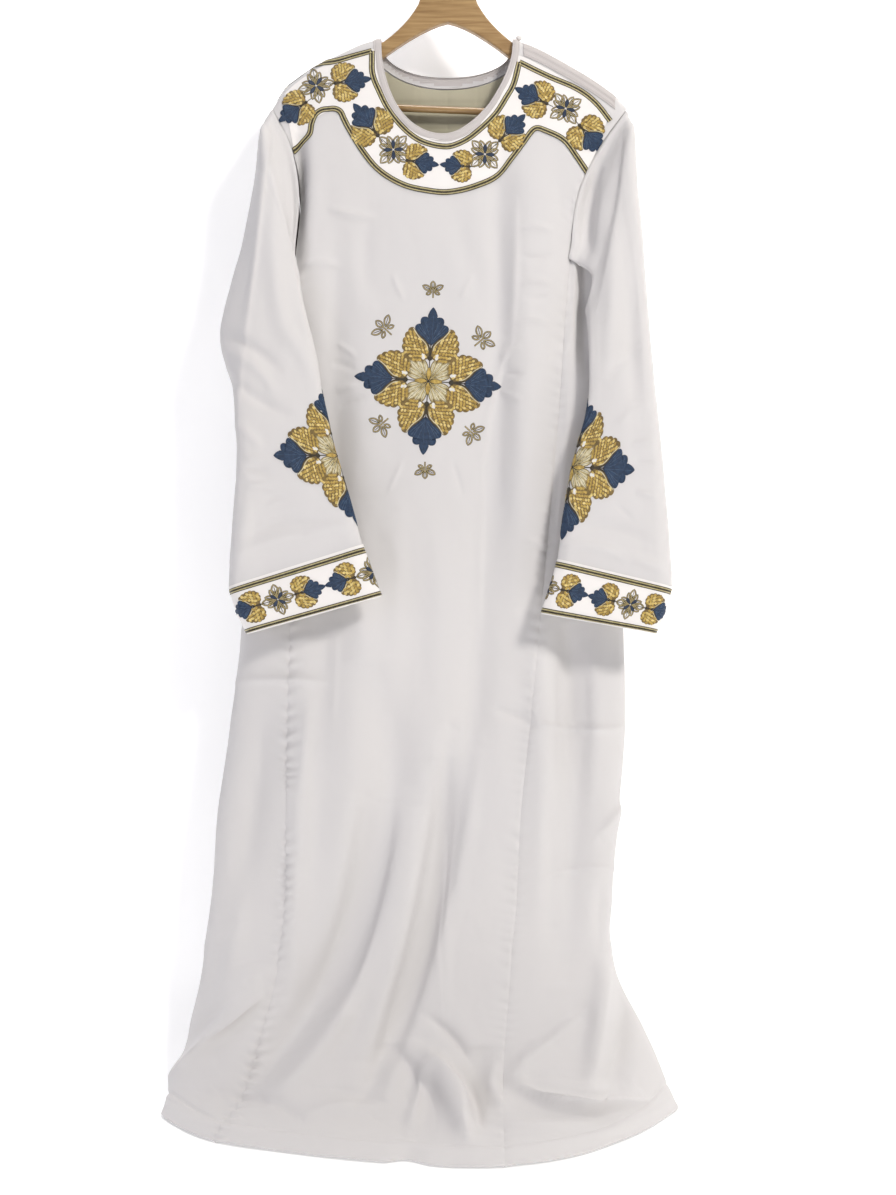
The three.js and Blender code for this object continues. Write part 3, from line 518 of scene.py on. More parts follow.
def stroke_height(strokes, px, py):
    """Height of the placed creases, by the nearest point of each one's curve, at photo pixels."""
    height = np.zeros_like(px)
    flat_x, flat_y, out = px.ravel(), py.ravel(), height.ravel()
    for k in range(len(strokes["x0"])):
        x0, y0, x1, y1, x2, y2, width, tall, kind = (strokes[n][k] for n in STROKE.split())
        t = np.linspace(0, 1, 13)
        mid_x, mid_y = 2 * x1 - (x0 + x2) / 2, 2 * y1 - (y0 + y2) / 2
        cx, cy = (
            (1 - t) ** 2 * a + 2 * t * (1 - t) * b + t * t * c
            for a, b, c in ((x0, mid_x, x2), (y0, mid_y, y2))
        )
        far = width * (6 if kind == STEP else 3)
        near = (
            (flat_x > cx.min() - far) & (flat_x < cx.max() + far)
            & (flat_y > cy.min() - far) & (flat_y < cy.max() + far)
        ).nonzero()[0]
        if len(near) == 0:
            continue
        qx, qy = flat_x[near], flat_y[near]
        best = np.full(len(near), 1e9)
        side = np.zeros(len(near))
        place = np.zeros(len(near))
        for s in range(len(t) - 1):
            ax, ay, bx, by = cx[s], cy[s], cx[s + 1], cy[s + 1]
            dx, dy = bx - ax, by - ay
            u = clamp(((qx - ax) * dx + (qy - ay) * dy) / (dx * dx + dy * dy))
            ex, ey = qx - ax - u * dx, qy - ay - u * dy
            d = np.hypot(ex, ey)
            closer = d < best
            best = np.where(closer, d, best)
            side = np.where(closer, np.sign(dx * ey - dy * ex), side)
            place = np.where(closer, (s + u) / (len(t) - 1), place)
        ends = np.sin(math.pi * clamp(place, 0.02, 0.98)) ** 0.6
        beyond = np.where((place <= 0) | (place >= 1), np.exp(-((best / width) ** 2)), 1.0)
        u = best / width
        if kind == SOFT:
            shape = np.exp(-u * u)
        elif kind == SHARP:
            shape = 1.7 * np.exp(-(u**1.25))
        else:
            signed = u * side
            shape = 0.5 * (1 + np.tanh(signed * 2.4)) * np.exp(-np.maximum(signed, 0) * 0.62)
        out[near] += CREASE * tall * ends * beyond * shape
    return out.reshape(px.shape)


def photo_place(point):
    sx, sz = seen(point)
    return PHOTO_X + sx * PIXEL, PHOTO_Y - (sz - EYE_Z) * PIXEL


def ripples(px, py, seed, amount=0.45):
    """The cloth's slight unevenness: long soft waves and smaller ones."""
    long = lattice_noise(px / 34 + py / 300, py / 90, seed)
    short = lattice_noise(px / 13 - py / 90, py / 30, seed + 1)
    fine = lattice_noise(px / 6 + py / 40, py / 9, seed + 2)
    return amount * (1.9 * long + 0.8 * short + 0.25 * fine)


def facing(normals):
    return clamp(-normals[..., 1] * 2.2 + 0.25 + clamp(normals[..., 2]) * 1.5)


# Meshes


def add_object(name, data):
    obj = bpy.data.objects.new(name, data)
    bpy.context.scene.collection.objects.link(obj)
    return obj


def put(name, verts, faces, material):
    mesh = bpy.data.meshes.new(name)
    verts = np.asarray(verts, float).reshape(-1, 3) * MM
    mesh.from_pydata(verts.tolist(), [], [list(map(int, f)) for f in faces])
    mesh.update()
    mesh.materials.append(material)
    mesh.polygons.foreach_set("use_smooth", [True] * len(mesh.polygons))
    return add_object(name, mesh)


def grid_faces(rows, cols, closed=False):
    j, i = np.meshgrid(np.arange(rows - 1), np.arange(cols if closed else cols - 1), indexing="ij")
    k = (i + 1) % cols
    corners = [j * cols + i, (j + 1) * cols + i, (j + 1) * cols + k, j * cols + k]
    return np.stack(corners, axis=-1).reshape(-1, 4)


def grid_mesh(name, grid, material, closed=False, cut=None):
    """A mesh of a grid's points, without the faces whose points are all cut out."""
    rows, cols = grid.shape[:2]
    verts = grid.reshape(-1, 3) * MM
    faces = grid_faces(rows, cols, closed)
    if cut is not None:
        gone = np.concatenate([cut.ravel(), np.zeros(rows * cols - cut.size, bool)])
        faces = faces[~gone[faces].all(axis=1)]
        used, faces = np.unique(faces, return_inverse=True)
        verts, faces = verts[used], faces.reshape(-1, 4)
    mesh = bpy.data.meshes.new(name)
    mesh.vertices.add(len(verts))
    mesh.vertices.foreach_set("co", verts.ravel())
    mesh.loops.add(len(faces) * 4)
    mesh.loops.foreach_set("vertex_index", faces.ravel())
    mesh.polygons.add(len(faces))
    mesh.polygons.foreach_set("loop_start", np.arange(len(faces)) * 4)
    mesh.update(calc_edges=True)
    mesh.validate()
    mesh.polygons.foreach_set("use_smooth", np.ones(len(faces), bool))
    mesh.materials.append(material)
    return add_object(name, mesh)


# Materials


def principled(name, color, roughness, **more):
    material = bpy.data.materials.new(name)
    material.use_nodes = True
    shader = material.node_tree.nodes["Principled BSDF"]
    shader.inputs["Base Color"].default_value = (*color, 1)
    shader.inputs["Roughness"].default_value = roughness
    for key, value in more.items():
        shader.inputs[key.replace("_", " ")].default_value = value
    return material, material.node_tree, shader


def mottled(tree, shader, place, scale, first, second, spread=None):
    """Mixes two colours by a noise, of whose values only a spread counts where one is given."""
    noise = tree.nodes.new("ShaderNodeTexNoise")
    noise.inputs["Scale"].default_value = scale
    noise.inputs["Detail"].default_value = 2
    tree.links.new(place.outputs["Object"], noise.inputs["Vector"])
    share = noise.outputs["Fac"]
    if spread:
        ramp = tree.nodes.new("ShaderNodeMapRange")
        ramp.inputs["From Min"].default_value = spread[0]
        ramp.inputs["From Max"].default_value = spread[1]
        tree.links.new(share, ramp.inputs["Value"])
        share = ramp.outputs["Result"]
    mix = tree.nodes.new("ShaderNodeMix")
    mix.data_type = "RGBA"
    mix.inputs["A"].default_value = (*first, 1)
    mix.inputs["B"].default_value = (*second, 1)
    tree.links.new(share, mix.inputs["Factor"])
    tree.links.new(mix.outputs["Result"], shader.inputs["Base Color"])


def bumped(tree, shader, height, strength, distance):
    bump = tree.nodes.new("ShaderNodeBump")
    bump.inputs["Strength"].default_value = strength
    bump.inputs["Distance"].default_value = distance
    tree.links.new(height, bump.inputs["Height"])
    tree.links.new(bump.outputs["Normal"], shader.inputs["Normal"])


def cloth_material(name, color, shade, weave_scale, weave_height, roughness=0.8, sheen=0.12):
    """Matt cloth with a fine square weave and two close tints."""
    material, tree, shader = principled(name, color, roughness)
    shader.inputs["Sheen Weight"].default_value = sheen
    shader.inputs["Sheen Roughness"].default_value = 0.5
    shader.inputs["Specular IOR Level"].default_value = 0.25
    nodes, links = tree.nodes, tree.links
    place = nodes.new("ShaderNodeTexCoord")
    mottled(tree, shader, place, 5.5, shade, color)
    waves = []
    for direction in ("X", "Z"):
        wave = nodes.new("ShaderNodeTexWave")
        wave.bands_direction = direction
        wave.inputs["Scale"].default_value = weave_scale
        wave.inputs["Distortion"].default_value = 0.6
        links.new(place.outputs["Object"], wave.inputs["Vector"])
        waves.append(wave)
    add = nodes.new("ShaderNodeMath")
    links.new(waves[0].outputs["Fac"], add.inputs[0])
    links.new(waves[1].outputs["Fac"], add.inputs[1])
    bumped(tree, shader, add.outputs[0], 0.35, weave_height)
    return material


def thread_material(name, color, light, scale=900, roughness=0.42, sheen=0.3):
    """Satin thread: dark and light strands, and the ridges of its stitches."""
    material, tree, shader = principled(name, color, roughness)
    shader.inputs["Sheen Weight"].default_value = sheen
    shader.inputs["Specular IOR Level"].default_value = 0.5
    place = tree.nodes.new("ShaderNodeTexCoord")
    mottled(tree, shader, place, 260, color, light, (0.35, 0.68))
    wave = tree.nodes.new("ShaderNodeTexWave")
    wave.bands_direction = "DIAGONAL"
    wave.inputs["Scale"].default_value = scale
    wave.inputs["Distortion"].default_value = 2
    tree.links.new(place.outputs["Object"], wave.inputs["Vector"])
    bumped(tree, shader, wave.outputs["Fac"], 0.6, 0.0003)
    return material


WHITE = cloth_material("cloth_white", (0.71, 0.69, 0.675), (0.685, 0.67, 0.668), 1400, 0.00012)
BAND = cloth_material("band_white", (0.9, 0.87, 0.84), (0.88, 0.85, 0.825), 1500, 0.0001, 0.7)
# white trim darkened below the body cloth: painted shade of the neck binding's stitched edge, which the
# shoulder placket shares
TRIM_PAINTED_SHADE = cloth_material("trim_painted_shade", (0.6, 0.56, 0.54), (0.58, 0.545, 0.53), 1500, 0.0001, 0.75)
FACING_CLOTH = cloth_material("facing_beige", (0.55, 0.515, 0.385), (0.47, 0.44, 0.32), 1200, 0.0001)
GOLD = thread_material("thread_gold", (0.36, 0.225, 0.035), (0.62, 0.43, 0.09))
# light gold for some scales of the gold leaves: painted glints on the metal thread
GOLD_GLINT = thread_material("thread_gold_glint", (0.6, 0.43, 0.1), (0.86, 0.7, 0.28))
# dark gold under the gold leaves' scales: painted shade in the gaps between them, and the leaves' dark
# outline
GOLD_EDGE_AND_GAP_SHADE = thread_material("thread_gold_edge_and_gap_shade", (0.13, 0.08, 0.015), (0.24, 0.15, 0.03))
PALE = thread_material("thread_pale", (0.34, 0.26, 0.09), (0.52, 0.42, 0.19))
STRAW = thread_material("thread_straw", (0.46, 0.39, 0.17), (0.62, 0.54, 0.29))
CREAM = thread_material("thread_cream", (0.6, 0.53, 0.32), (0.76, 0.7, 0.5))
BLUE = thread_material(
    "thread_blue", (0.008, 0.027, 0.066), (0.017, 0.047, 0.106), roughness=0.58, sheen=0.01
)
# light blue thread for the lines beside the blue leaves' veins: a painted highlight
SKY_PAINTED_HIGHLIGHT = thread_material("thread_sky", (0.045, 0.1, 0.19), (0.08, 0.16, 0.28), sheen=0.03)
NAVY = thread_material("thread_navy", (0.01, 0.022, 0.052), (0.02, 0.04, 0.09), sheen=0.02)
DARK = thread_material("thread_dark", (0.022, 0.016, 0.006), (0.045, 0.032, 0.012), sheen=0.02)
COTTON = thread_material("thread_white", (0.78, 0.75, 0.7), (0.86, 0.84, 0.8))

# Panels


def neckline(x, lowest, inset):
    half = NECK_HALF - inset
    rim = along(SHOULDER, "x", x, "z")
    across = np.minimum(np.abs(x) / half, 1)
    return lerp(rim, lowest + inset, (1 - across**NECK_SQUARE) ** (1 / NECK_SQUARE))


TOP_ROWS, HUNG_ROWS, FOOT_ROWS = 100, 250, 110
ROLL_STEPS = [0.0, 0.01, 0.05, 0.12, 0.25, 0.42, 0.62, 0.82, 1.0]
ROLL_ROWS = len(ROLL_STEPS) - 1
FOOT_REACH = 230


def even_foot(count):
    """Shares of the foot's rise whose rows are evenly far apart along the curve."""
    dense = np.linspace(0, 1, 2000)
    swing, drop = foot_turn(FLOOR_Z + FOOT_RISE * (1 - dense))
    steps = np.hypot(np.diff(swing) * FOOT_REACH, np.diff(drop) * FOOT_RISE)
    length = np.concatenate([[0], np.cumsum(steps)])
    return np.interp(np.linspace(0, length[-1], count + 1), length, dense)


FOOT_SHARES = even_foot(FOOT_ROWS)


def row_height(j, top):
    if j <= ROLL_ROWS:
        return top - SHOULDER_ROUND * ROLL_STEPS[j]
    if j <= TOP_ROWS:
        return lerp(top - SHOULDER_ROUND, UNDERARM_Z, (j - ROLL_ROWS) / (TOP_ROWS - ROLL_ROWS))
    below = j - TOP_ROWS
    if below <= HUNG_ROWS:
        return lerp(UNDERARM_Z, FLOOR_Z + FOOT_RISE, below / HUNG_ROWS)
    return FLOOR_Z + FOOT_RISE * (1 - FOOT_SHARES[below - HUNG_ROWS])


def panel_grid(left_name, right_name, point_at, cols):
    """Rows from the shoulder line down to the hem, evenly divided from seam to seam."""
    share = np.linspace(0, 1, cols)
    first = lerp(BODY[left_name][0] + HALF_GAP, BODY[right_name][0] - HALF_GAP, share)
    top = along(SHOULDER, "x", first, "z")
    rows, places = [], []
    for j in range(TOP_ROWS + HUNG_ROWS + FOOT_ROWS + 1):
        z = row_height(j, top) + 0 * share
        left = along(BODY, "z", z, left_name) + HALF_GAP
        right = along(BODY, "z", z, right_name) - HALF_GAP
        x = lerp(left, right, share)
        rows.append(point_at(x, z))
        places.append(np.stack([x, z], axis=-1))
    return np.array(rows), np.array(places)


def neck_opening(places, lowest, narrowed=0.0):
    """Which of a panel's points are inside the neck, so that their faces are cut out."""
    x, z = places[..., 0], places[..., 1]
    inset = 3.5 + narrowed * along(NECK_EDGES, "across", x / (NECK_HALF - 6), "outer")
    return (np.abs(x) < NECK_HALF - inset) & (z > neckline(x, lowest, inset))


def dressed(grid, strokes, seed, seam, front=True):
    """Moves a base grid out to the cloth's face and adds the creases, ripples and seams."""
    normals = grid_normals(grid)
    px, py = photo_place(grid)
    weight = facing(normals) if front else clamp(normals[..., 1] * 2.2 + 0.25)
    height = stroke_height(strokes, px, py) * weight + ripples(px, py, seed) + seam
    return grid + normals * (CLOTH + height)[..., None]


def seam_pull(distance, run, seed, pull=0.9, reach=7.0, depth=0.7, pitch=15.0):
    """A stitched seam: a groove at it and short uneven puckers across it."""
    groove = -depth * np.exp(-((distance / 1.8) ** 2))
    beat = run / pitch + 1.3 * lattice_noise(run / 60, run * 0 + 0.5, seed)
    strong = 0.45 + 0.55 * lattice_noise(run / 45, run * 0 + 3.5, seed + 3)
    waves = np.sin(2 * math.pi * beat + distance * 0.12) * np.clip(strong, 0, 1)
    return groove + pull * waves * np.exp(-((distance / reach) ** 1.4))


FRONT_COLS = 170
front_base, front_places = panel_grid("seamL", "seamR", front_point, FRONT_COLS)


def edge_distances(grid):
    """How far each point is from the panel's two edges and from its last row."""
    steps = np.linalg.norm(np.diff(grid, axis=0), axis=-1)
    below = np.concatenate([np.cumsum(steps[::-1], axis=0)[::-1], np.zeros((1, grid.shape[1]))])
    to_first = np.linalg.norm(grid - grid[:, :1], axis=-1)
    to_last = np.linalg.norm(grid - grid[:, -1:], axis=-1)
    return to_first, to_last, below


def hem_relief(below):
    """The hem's stitch line as a groove, with the turned band below it a little raised."""
    groove = -1.7 * np.exp(-(((below - HEM_STITCH) / 2.6) ** 2))
    band = 0.7 / (1 + np.exp(np.minimum(below - HEM_STITCH, 90) / 1.5))
    return groove + band - 0.6 * np.exp(-((below / 2.5) ** 2))


def seams(grid, run, strength, first, last):
    """A panel's two seams, each by its seed, pull and reach, and its hem, as heights."""
    to_first, to_last, below = edge_distances(grid)
    height = hem_relief(below)
    for distance, seam in ((to_first, first), (to_last, last)):
        height = height + seam_pull(distance, run + 0 * distance, *seam) * strength
    return height


_, _, front_below = edge_distances(front_base)
run = front_below[:1, :1] - front_below[:, :1]
row_at = np.arange(front_base.shape[0])[:, None]
below_arm = clamp((row_at - TOP_ROWS * 0.2) / 20)
lower = clamp((row_at - TOP_ROWS) / 60)
front_seams = seams(front_base, run, below_arm * (0.3 + 0.7 * lower), (11, 5.0, 10), (12, 2.0, 10))
front_face = dressed(front_base, BODY_STROKES, 21, front_seams)


def hem_turned(grid, closed=False, depth=30.0, thick=1.2):
    """Adds the hem's turned edge: the last rows roll under and run back inside the cloth."""
    last, before = grid[-1], grid[-3]
    out = last - before
    out /= np.maximum(np.linalg.norm(out, axis=-1, keepdims=True), 1e-9)
    normals = grid_normals(grid, closed)[-2]
    rows = [grid]
    for angle in (40, 90, 140, 180):
        a = math.radians(angle)
        ring = last + out * (thick * math.sin(a)) - normals * (thick * (1 - math.cos(a)))
        rows.append(ring[None])
    for k in range(1, int(depth / 6) + 1):
        back = grid[-1 - 2 * k] if len(grid) > 2 * k + 1 else grid[0]
        rows.append((back - normals * (2 * thick))[None])
    return np.concatenate(rows)


# no crease pushes the front's hem through the layer that it lies on
front_face[..., 2] = np.maximum(front_face[..., 2], FLOOR_Z + 2.2)
front_panel = grid_mesh(
    "front_panel_cloth", hem_turned(front_face), WHITE, cut=neck_opening(front_places, NECK_FRONT_Z, 1.0)
)

back_base, back_places = panel_grid("backL", "backR", back_point, 100)
back_base, back_places = back_base[:, ::-1], back_places[:, ::-1]
back_seams = seams(back_base, run, below_arm, (31,), (32,))
back_face = dressed(back_base, BACK_STROKES, 41, back_seams, front=False)
back_panel = grid_mesh(
    "back_panel_cloth", hem_turned(back_face), WHITE, cut=neck_opening(back_places, NECK_BACK_Z)
)

side_panels = {}
SIDE_TURNS = 110
zs = np.array([row_height(j, 0) for j in range(TOP_ROWS, TOP_ROWS + HUNG_ROWS + FOOT_ROWS + 1)])
for side, name, first, last in ((-1, "left", (51,), (11, 3.2)), (1, "right", (12, 1.4), (52,))):
    base = side_point(side, np.linspace(0, 1, SIDE_TURNS + 1)[None, :], zs[:, None])
    if side < 0:
        base = base[:, ::-1]
    normals = grid_normals(base)
    face = dressed(base, BODY_STROKES, 21, seams(base, run[TOP_ROWS:], 1, first, last))
    face[..., 2] = np.maximum(face[..., 2], FLOOR_Z - 1.6)
    # both edges are tucked a little under the front and the back panel
    ends = []
    for edge, inner in ((0, 1), (-1, -2)):
        out = face[:, edge] - face[:, inner]
        out /= np.linalg.norm(out, axis=-1, keepdims=True)
        ends.append((face[:, edge] + out * 2.5 - normals[:, edge] * 0.8)[:, None])
    face = np.concatenate([ends[0], face, ends[1]], axis=1)
    side_panels[name] = grid_mesh(f"side_panel_{name}_cloth", hem_turned(face), WHITE)

# Sleeves


def spline_ring(corners, count):
    """A closed centripetal curve through the corners, at evenly spaced points."""
    n = len(corners)
    dense = []
    for i in range(n):
        p = [corners[(i + k - 1) % n] for k in range(4)]
        dt = [max(np.dot(p[k + 1] - p[k], p[k + 1] - p[k]) ** 0.25, 1e-4) for k in range(3)]
        t1 = (p[1] - p[0]) / dt[0] - (p[2] - p[0]) / (dt[0] + dt[1]) + (p[2] - p[1]) / dt[1]
        t2 = (p[2] - p[1]) / dt[1] - (p[3] - p[1]) / (dt[1] + dt[2]) + (p[3] - p[2]) / dt[2]
        t1, t2 = t1 * dt[1], t2 * dt[1]
        u = (np.arange(40) / 40)[:, None]
        c2 = -3 * p[1] + 3 * p[2] - 2 * t1 - t2
        c3 = 2 * p[1] - 2 * p[2] + t1 + t2
        dense.append(p[1] + t1 * u + c2 * u**2 + c3 * u**3)
    dense = np.concatenate(dense + [dense[0][:1]])
    length = np.concatenate([[0], np.cumsum(np.linalg.norm(np.diff(dense, axis=0), axis=1))])
    at = np.linspace(0, length[-1], count, endpoint=False)
    return np.stack([np.interp(at, length, dense[:, k]) for k in range(3)], axis=1)


SLEEVE_SPAN = 14


def sleeve_ring(row):
    in_x, in_z, out_x, out_z, fold_x, front, back, inner_x = (row[n] for n in SLEEVE.split())

    def corner(x, y):
        z = lerp(out_z, in_z, float(clamp((x - out_x) / (in_x - out_x))))
        return np.array([x, y, z])

    inner = math.copysign(1, in_x - out_x)
    return spline_ring(
        [
            corner(out_x, (front + back) / 2 + 6),
            corner(fold_x, front + 3),
            corner(lerp(fold_x, in_x, 0.3), front),
            corner(lerp(fold_x, in_x, 0.75), front + 2),
            corner(in_x - inner * 2, front + 6),
            corner(in_x, front + 11),
            corner(lerp(in_x, inner_x, 0.62), lerp(front, back, 0.28)),
            corner(lerp(in_x, inner_x, 0.96), lerp(front, back, 0.62)),
            corner(inner_x, back),
            corner(lerp(inner_x, out_x, 0.55), back + 1),
        ],
        2 * SLEEVE_SPAN,
    )


def coarse_row_height(j, top):
    if j <= 2:
        return top - SHOULDER_ROUND * [0.002, 0.3, 1][j]
    return lerp(top - SHOULDER_ROUND, UNDERARM_Z, (j - 2) / 9)


def armhole_ring(side):
    out = side * 2.6 * HALF_GAP
    ring = []
    name_f, name_b = ("seamL", "backL") if side < 0 else ("seamR", "backR")
    top_x = BODY["seamL" if side < 0 else "seamR"][0]
    top = float(along(SHOULDER, "x", top_x, "z"))
    for j in range(11):
        z = coarse_row_height(j, top)
        x = float(along(BODY, "z", z, name_f)) - side * HALF_GAP
        ring.append(front_point(x, z) + [out, 0, 0])
    for i in range(7):
        point = side_point(side, i / 6, UNDERARM_Z)
        ring.append(point + [out, 0, 4 * HALF_GAP])
    for j in range(10, 0, -1):
        z = coarse_row_height(j, top)
        x = float(along(BODY, "z", z, name_b)) - side * HALF_GAP
        ring.append(back_point(x, z) + [out, 0, 0])
    return np.array(ring)


def tube_rings(rows, between):
    at = np.arange(len(rows["inX"]), dtype=float)
    numbered = dict(rows, at=at)
    rings = []
    for j in range((len(at) - 1) * between + 1):
        rings.append(sleeve_ring({n: float(along(numbered, "at", j / between, n)) for n in rows}))
    return np.array(rings)


def sleeve_grid(armhole, rows, tucks):
    rings = tube_rings(rows, 2)
    head = [armhole]
    for share, tuck in zip((0.35, 0.7), tucks):
        mixed = lerp(armhole, rings[0], share)
        for i in range(1, SLEEVE_SPAN):
            mixed[i, 1] += tuck * math.sin(math.pi * i / SLEEVE_SPAN)
        head.append(mixed)
    return np.concatenate([head, rings])


def finer(grid, by_row, by_col):
    """More points on a tube's grid, on smooth curves through its own."""
    cols = grid.shape[1]
    table_at = {"at": np.arange(-3, cols + 4, dtype=float)}
    wrapped = grid[:, np.arange(-3, cols + 4) % cols]
    fine_cols = np.arange(cols * by_col) / by_col
    wide = np.empty((grid.shape[0], len(fine_cols), 3))
    for j in range(grid.shape[0]):
        for k in range(3):
            table_at["v"] = wrapped[j, :, k]
            wide[j, :, k] = along(table_at, "at", fine_cols, "v")
    gaps = np.linalg.norm(np.diff(grid, axis=0), axis=-1).mean(axis=1)
    key = np.concatenate([[0], np.cumsum(gaps)])
    fine_rows = np.concatenate(
        [np.linspace(key[j], key[j + 1], by_row, endpoint=False) for j in range(len(key) - 1)]
        + [key[-1:]]
    )
    return smooth_through(key, wide, fine_rows)


sleeves, cuffs, cuff_faces, sleeve_faces = {}, {}, {}, {}
for side, name, rows, cuff_rows, strokes in (
    (-1, "left", SLEEVE_LEFT, CUFF_LEFT, LEFT_STROKES),
    (1, "right", SLEEVE_RIGHT, CUFF_RIGHT, RIGHT_STROKES),
):
    order = slice(None) if side < 0 else slice(None, None, -1)
    tucks = (10, 8) if side < 0 else (8, 1)
    base = finer(sleeve_grid(armhole_ring(side), rows, tucks), 13, 5)[:, order]
    run_down = np.linalg.norm(base - base[:1], axis=-1)
    at_seam = 1.2 * np.exp(-((run_down / 2.2) ** 2))
    settle = clamp(run_down / 12)
    normals = grid_normals(base, True)
    px, py = photo_place(base)
    height = stroke_height(strokes, px, py) * facing(normals) + ripples(px, py, 60 + side)
    last = clamp((base.shape[0] - 1 - np.arange(base.shape[0])) / 5)[:, None]
    face = base + normals * (CLOTH - at_seam + height * settle * (0.3 + 0.7 * last))[..., None]
    sleeve_faces[name] = face
    sleeves[name] = grid_mesh(f"sleeve_{name}_cloth", face, WHITE, closed=True)
    cuff_base = finer(tube_rings(cuff_rows, 1), 22, 5)[:, order]
    cuff_normals = grid_normals(cuff_base, True)
    cpx, cpy = photo_place(cuff_base)
    cuff_height = 2.3 + ripples(cpx, cpy, 70 + side, 0.22)
    cuff_face = cuff_base + cuff_normals * cuff_height[..., None]
    cuff_faces[name] = cuff_face
    cuffs[name] = grid_mesh(f"cuff_{name}_band", hem_turned(cuff_face, True, depth=20), BAND, True)

# Yoke, binding, placket, facing


def sampled(grid, normals, row, col, closed=False):
    """Points and normals of a grid at fractional rows and columns."""
    rows, cols = grid.shape[:2]
    row = np.clip(row, 0, rows - 1.001)
    col = np.mod(col, cols) if closed else np.clip(col, 0, cols - 1.001)
    j, i = np.floor(row).astype(int), np.floor(col).astype(int)
    v, u = (row - j)[..., None], (col - i)[..., None]
    i = np.minimum(i, cols - 1)
    k = (i + 1) % cols

    def mixed(values):
        return lerp(lerp(values[j, i], values[j, k], u), lerp(values[j + 1, i], values[j + 1, k], u), v)

    normal = mixed(normals)
    return mixed(grid), normal / np.maximum(np.linalg.norm(normal, axis=-1, keepdims=True), 1e-9)


front_normals = grid_normals(front_face)


def on_front(x, z):
    """The front panel's creased face at x and z, and its normal."""
    left = along(BODY, "z", z, "seamL") + HALF_GAP
    right = along(BODY, "z", z, "seamR") - HALF_GAP
    share = clamp((x - left) / (right - left))
    first = lerp(BODY["seamL"][0] + HALF_GAP, BODY["seamR"][0] - HALF_GAP, share)
    below = along(SHOULDER, "x", first, "z") - z
    rolled = np.interp(below / SHOULDER_ROUND, ROLL_STEPS, np.arange(ROLL_ROWS + 1))
    down = (below - SHOULDER_ROUND) / (below + z - SHOULDER_ROUND - UNDERARM_Z)
    chest = ROLL_ROWS + down * (TOP_ROWS - ROLL_ROWS)
    skirt = TOP_ROWS + (UNDERARM_Z - z) / (UNDERARM_Z - FLOOR_Z - FOOT_RISE) * HUNG_ROWS
    row = np.where(below < SHOULDER_ROUND, rolled, np.where(z > UNDERARM_Z, chest, skirt))
    return sampled(front_face, front_normals, row, share * (FRONT_COLS - 1))


def front_surface(x, z, lift):
    x, z = np.broadcast_arrays(np.asarray(x, float), np.asarray(z, float))
    point, normal = on_front(x, z)
    return point + normal * np.asarray(lift)[..., None], normal


def front_seen(px, py):
    """The x and z on the front that the photo shows at a pixel."""
    px, py = np.asarray(px, float), np.asarray(py, float)
    y = np.full(px.shape, -24.0)
    for _ in range(5):
        x = (px - PHOTO_X) * (EYE_DISTANCE + y) / FOCAL
        z = EYE_Z - (py - PHOTO_Y) * (EYE_DISTANCE + y) / FOCAL
        y = front_point(x, z)[..., 1] - CLOTH
    return x, z


def fine_table(rows, names, steps):
    """Each named column of a table at evenly spaced places along it."""
    at = np.arange(len(rows[names[0]]), dtype=float)
    places = np.linspace(0, at[-1], steps)
    return [along({"at": at, "v": rows[n]}, "at", places, "v") for n in names]


top_x, top_z, low_x, low_z = fine_table(YOKE, ["topX", "topZ", "lowX", "lowZ"], 260)
t = np.linspace(0, 1, 34)[:, None]
yoke_x, yoke_z = lerp(top_x, low_x, t), lerp(top_z, low_z, t)
yoke_face, _ = front_surface(yoke_x, yoke_z, np.full(yoke_x.shape, 0.7))
yoke = grid_mesh("yoke_band", yoke_face, BAND)


def binding_ring(share):
    points = []
    for steps, sign, lowest, point_at in (
        (150, 1, NECK_FRONT_Z, front_point),
        (110, -1, NECK_BACK_Z, back_point),
    ):
        eased = (1 - np.cos(math.pi * np.arange(steps) / steps)) / 2
        across = -sign * np.cos(math.pi * eased)
        if sign > 0:
            outer = along(NECK_EDGES, "across", across, "outer")
            inner = along(NECK_EDGES, "across", across, "inner")
        else:
            to_right = clamp((across - 0.8) / 0.2) ** 2
            outer = 4.0 * to_right
            inner = lerp(BINDING_MIDDLE, BINDING_SIDE, across**2) + 2.5 * to_right
        inset = lerp(outer, inner, share)
        x = across * (NECK_HALF - inset)
        points.append(point_at(x, neckline(x, lowest, inset) - 0.02))
    return np.concatenate(points)


shares = np.linspace(1.0, -0.06, 24)
binding_base = np.array([binding_ring(max(s, 0.0)) for s in shares])
binding_normals = grid_normals(binding_base, True)
puff = CLOTH + 0.5 + 0.9 * np.sin(math.pi * clamp((1.03 - shares) / 1.06, 0.03, 0.97)) ** 0.5
for stitch_row in (0.2, 0.8):
    puff = puff - 0.55 * np.exp(-(((shares - stitch_row) / 0.05) ** 2))
binding_face = binding_base + binding_normals * puff[:, None, None]
binding_face = np.concatenate([(binding_base[:1] - binding_normals[:1] * 0.6), binding_face])
binding = grid_mesh("neck_binding_band", binding_face, TRIM_PAINTED_SHADE, closed=True)

PLACKET_ROWS = 36
place_x = np.linspace(96, 212, 110)
drops = np.linspace(3, 20, PLACKET_ROWS)[:, None]
placket_z = along(SHOULDER, "x", place_x, "z")[None, :] - drops
row = np.arange(PLACKET_ROWS)
edge_dip = 0.9 * clamp(np.minimum(row, row[::-1]) / 3)[:, None]
for groove in (5.6, 10.5, 12.2, 17.6):
    edge_dip = edge_dip - 0.75 * np.exp(-(((drops - groove) / 0.5) ** 2))
placket_face, _ = front_surface(
    place_x[None, :] + 0 * drops, placket_z, 0.5 + edge_dip + 0 * placket_z
)
placket = grid_mesh("shoulder_placket_band", placket_face, TRIM_PAINTED_SHADE)

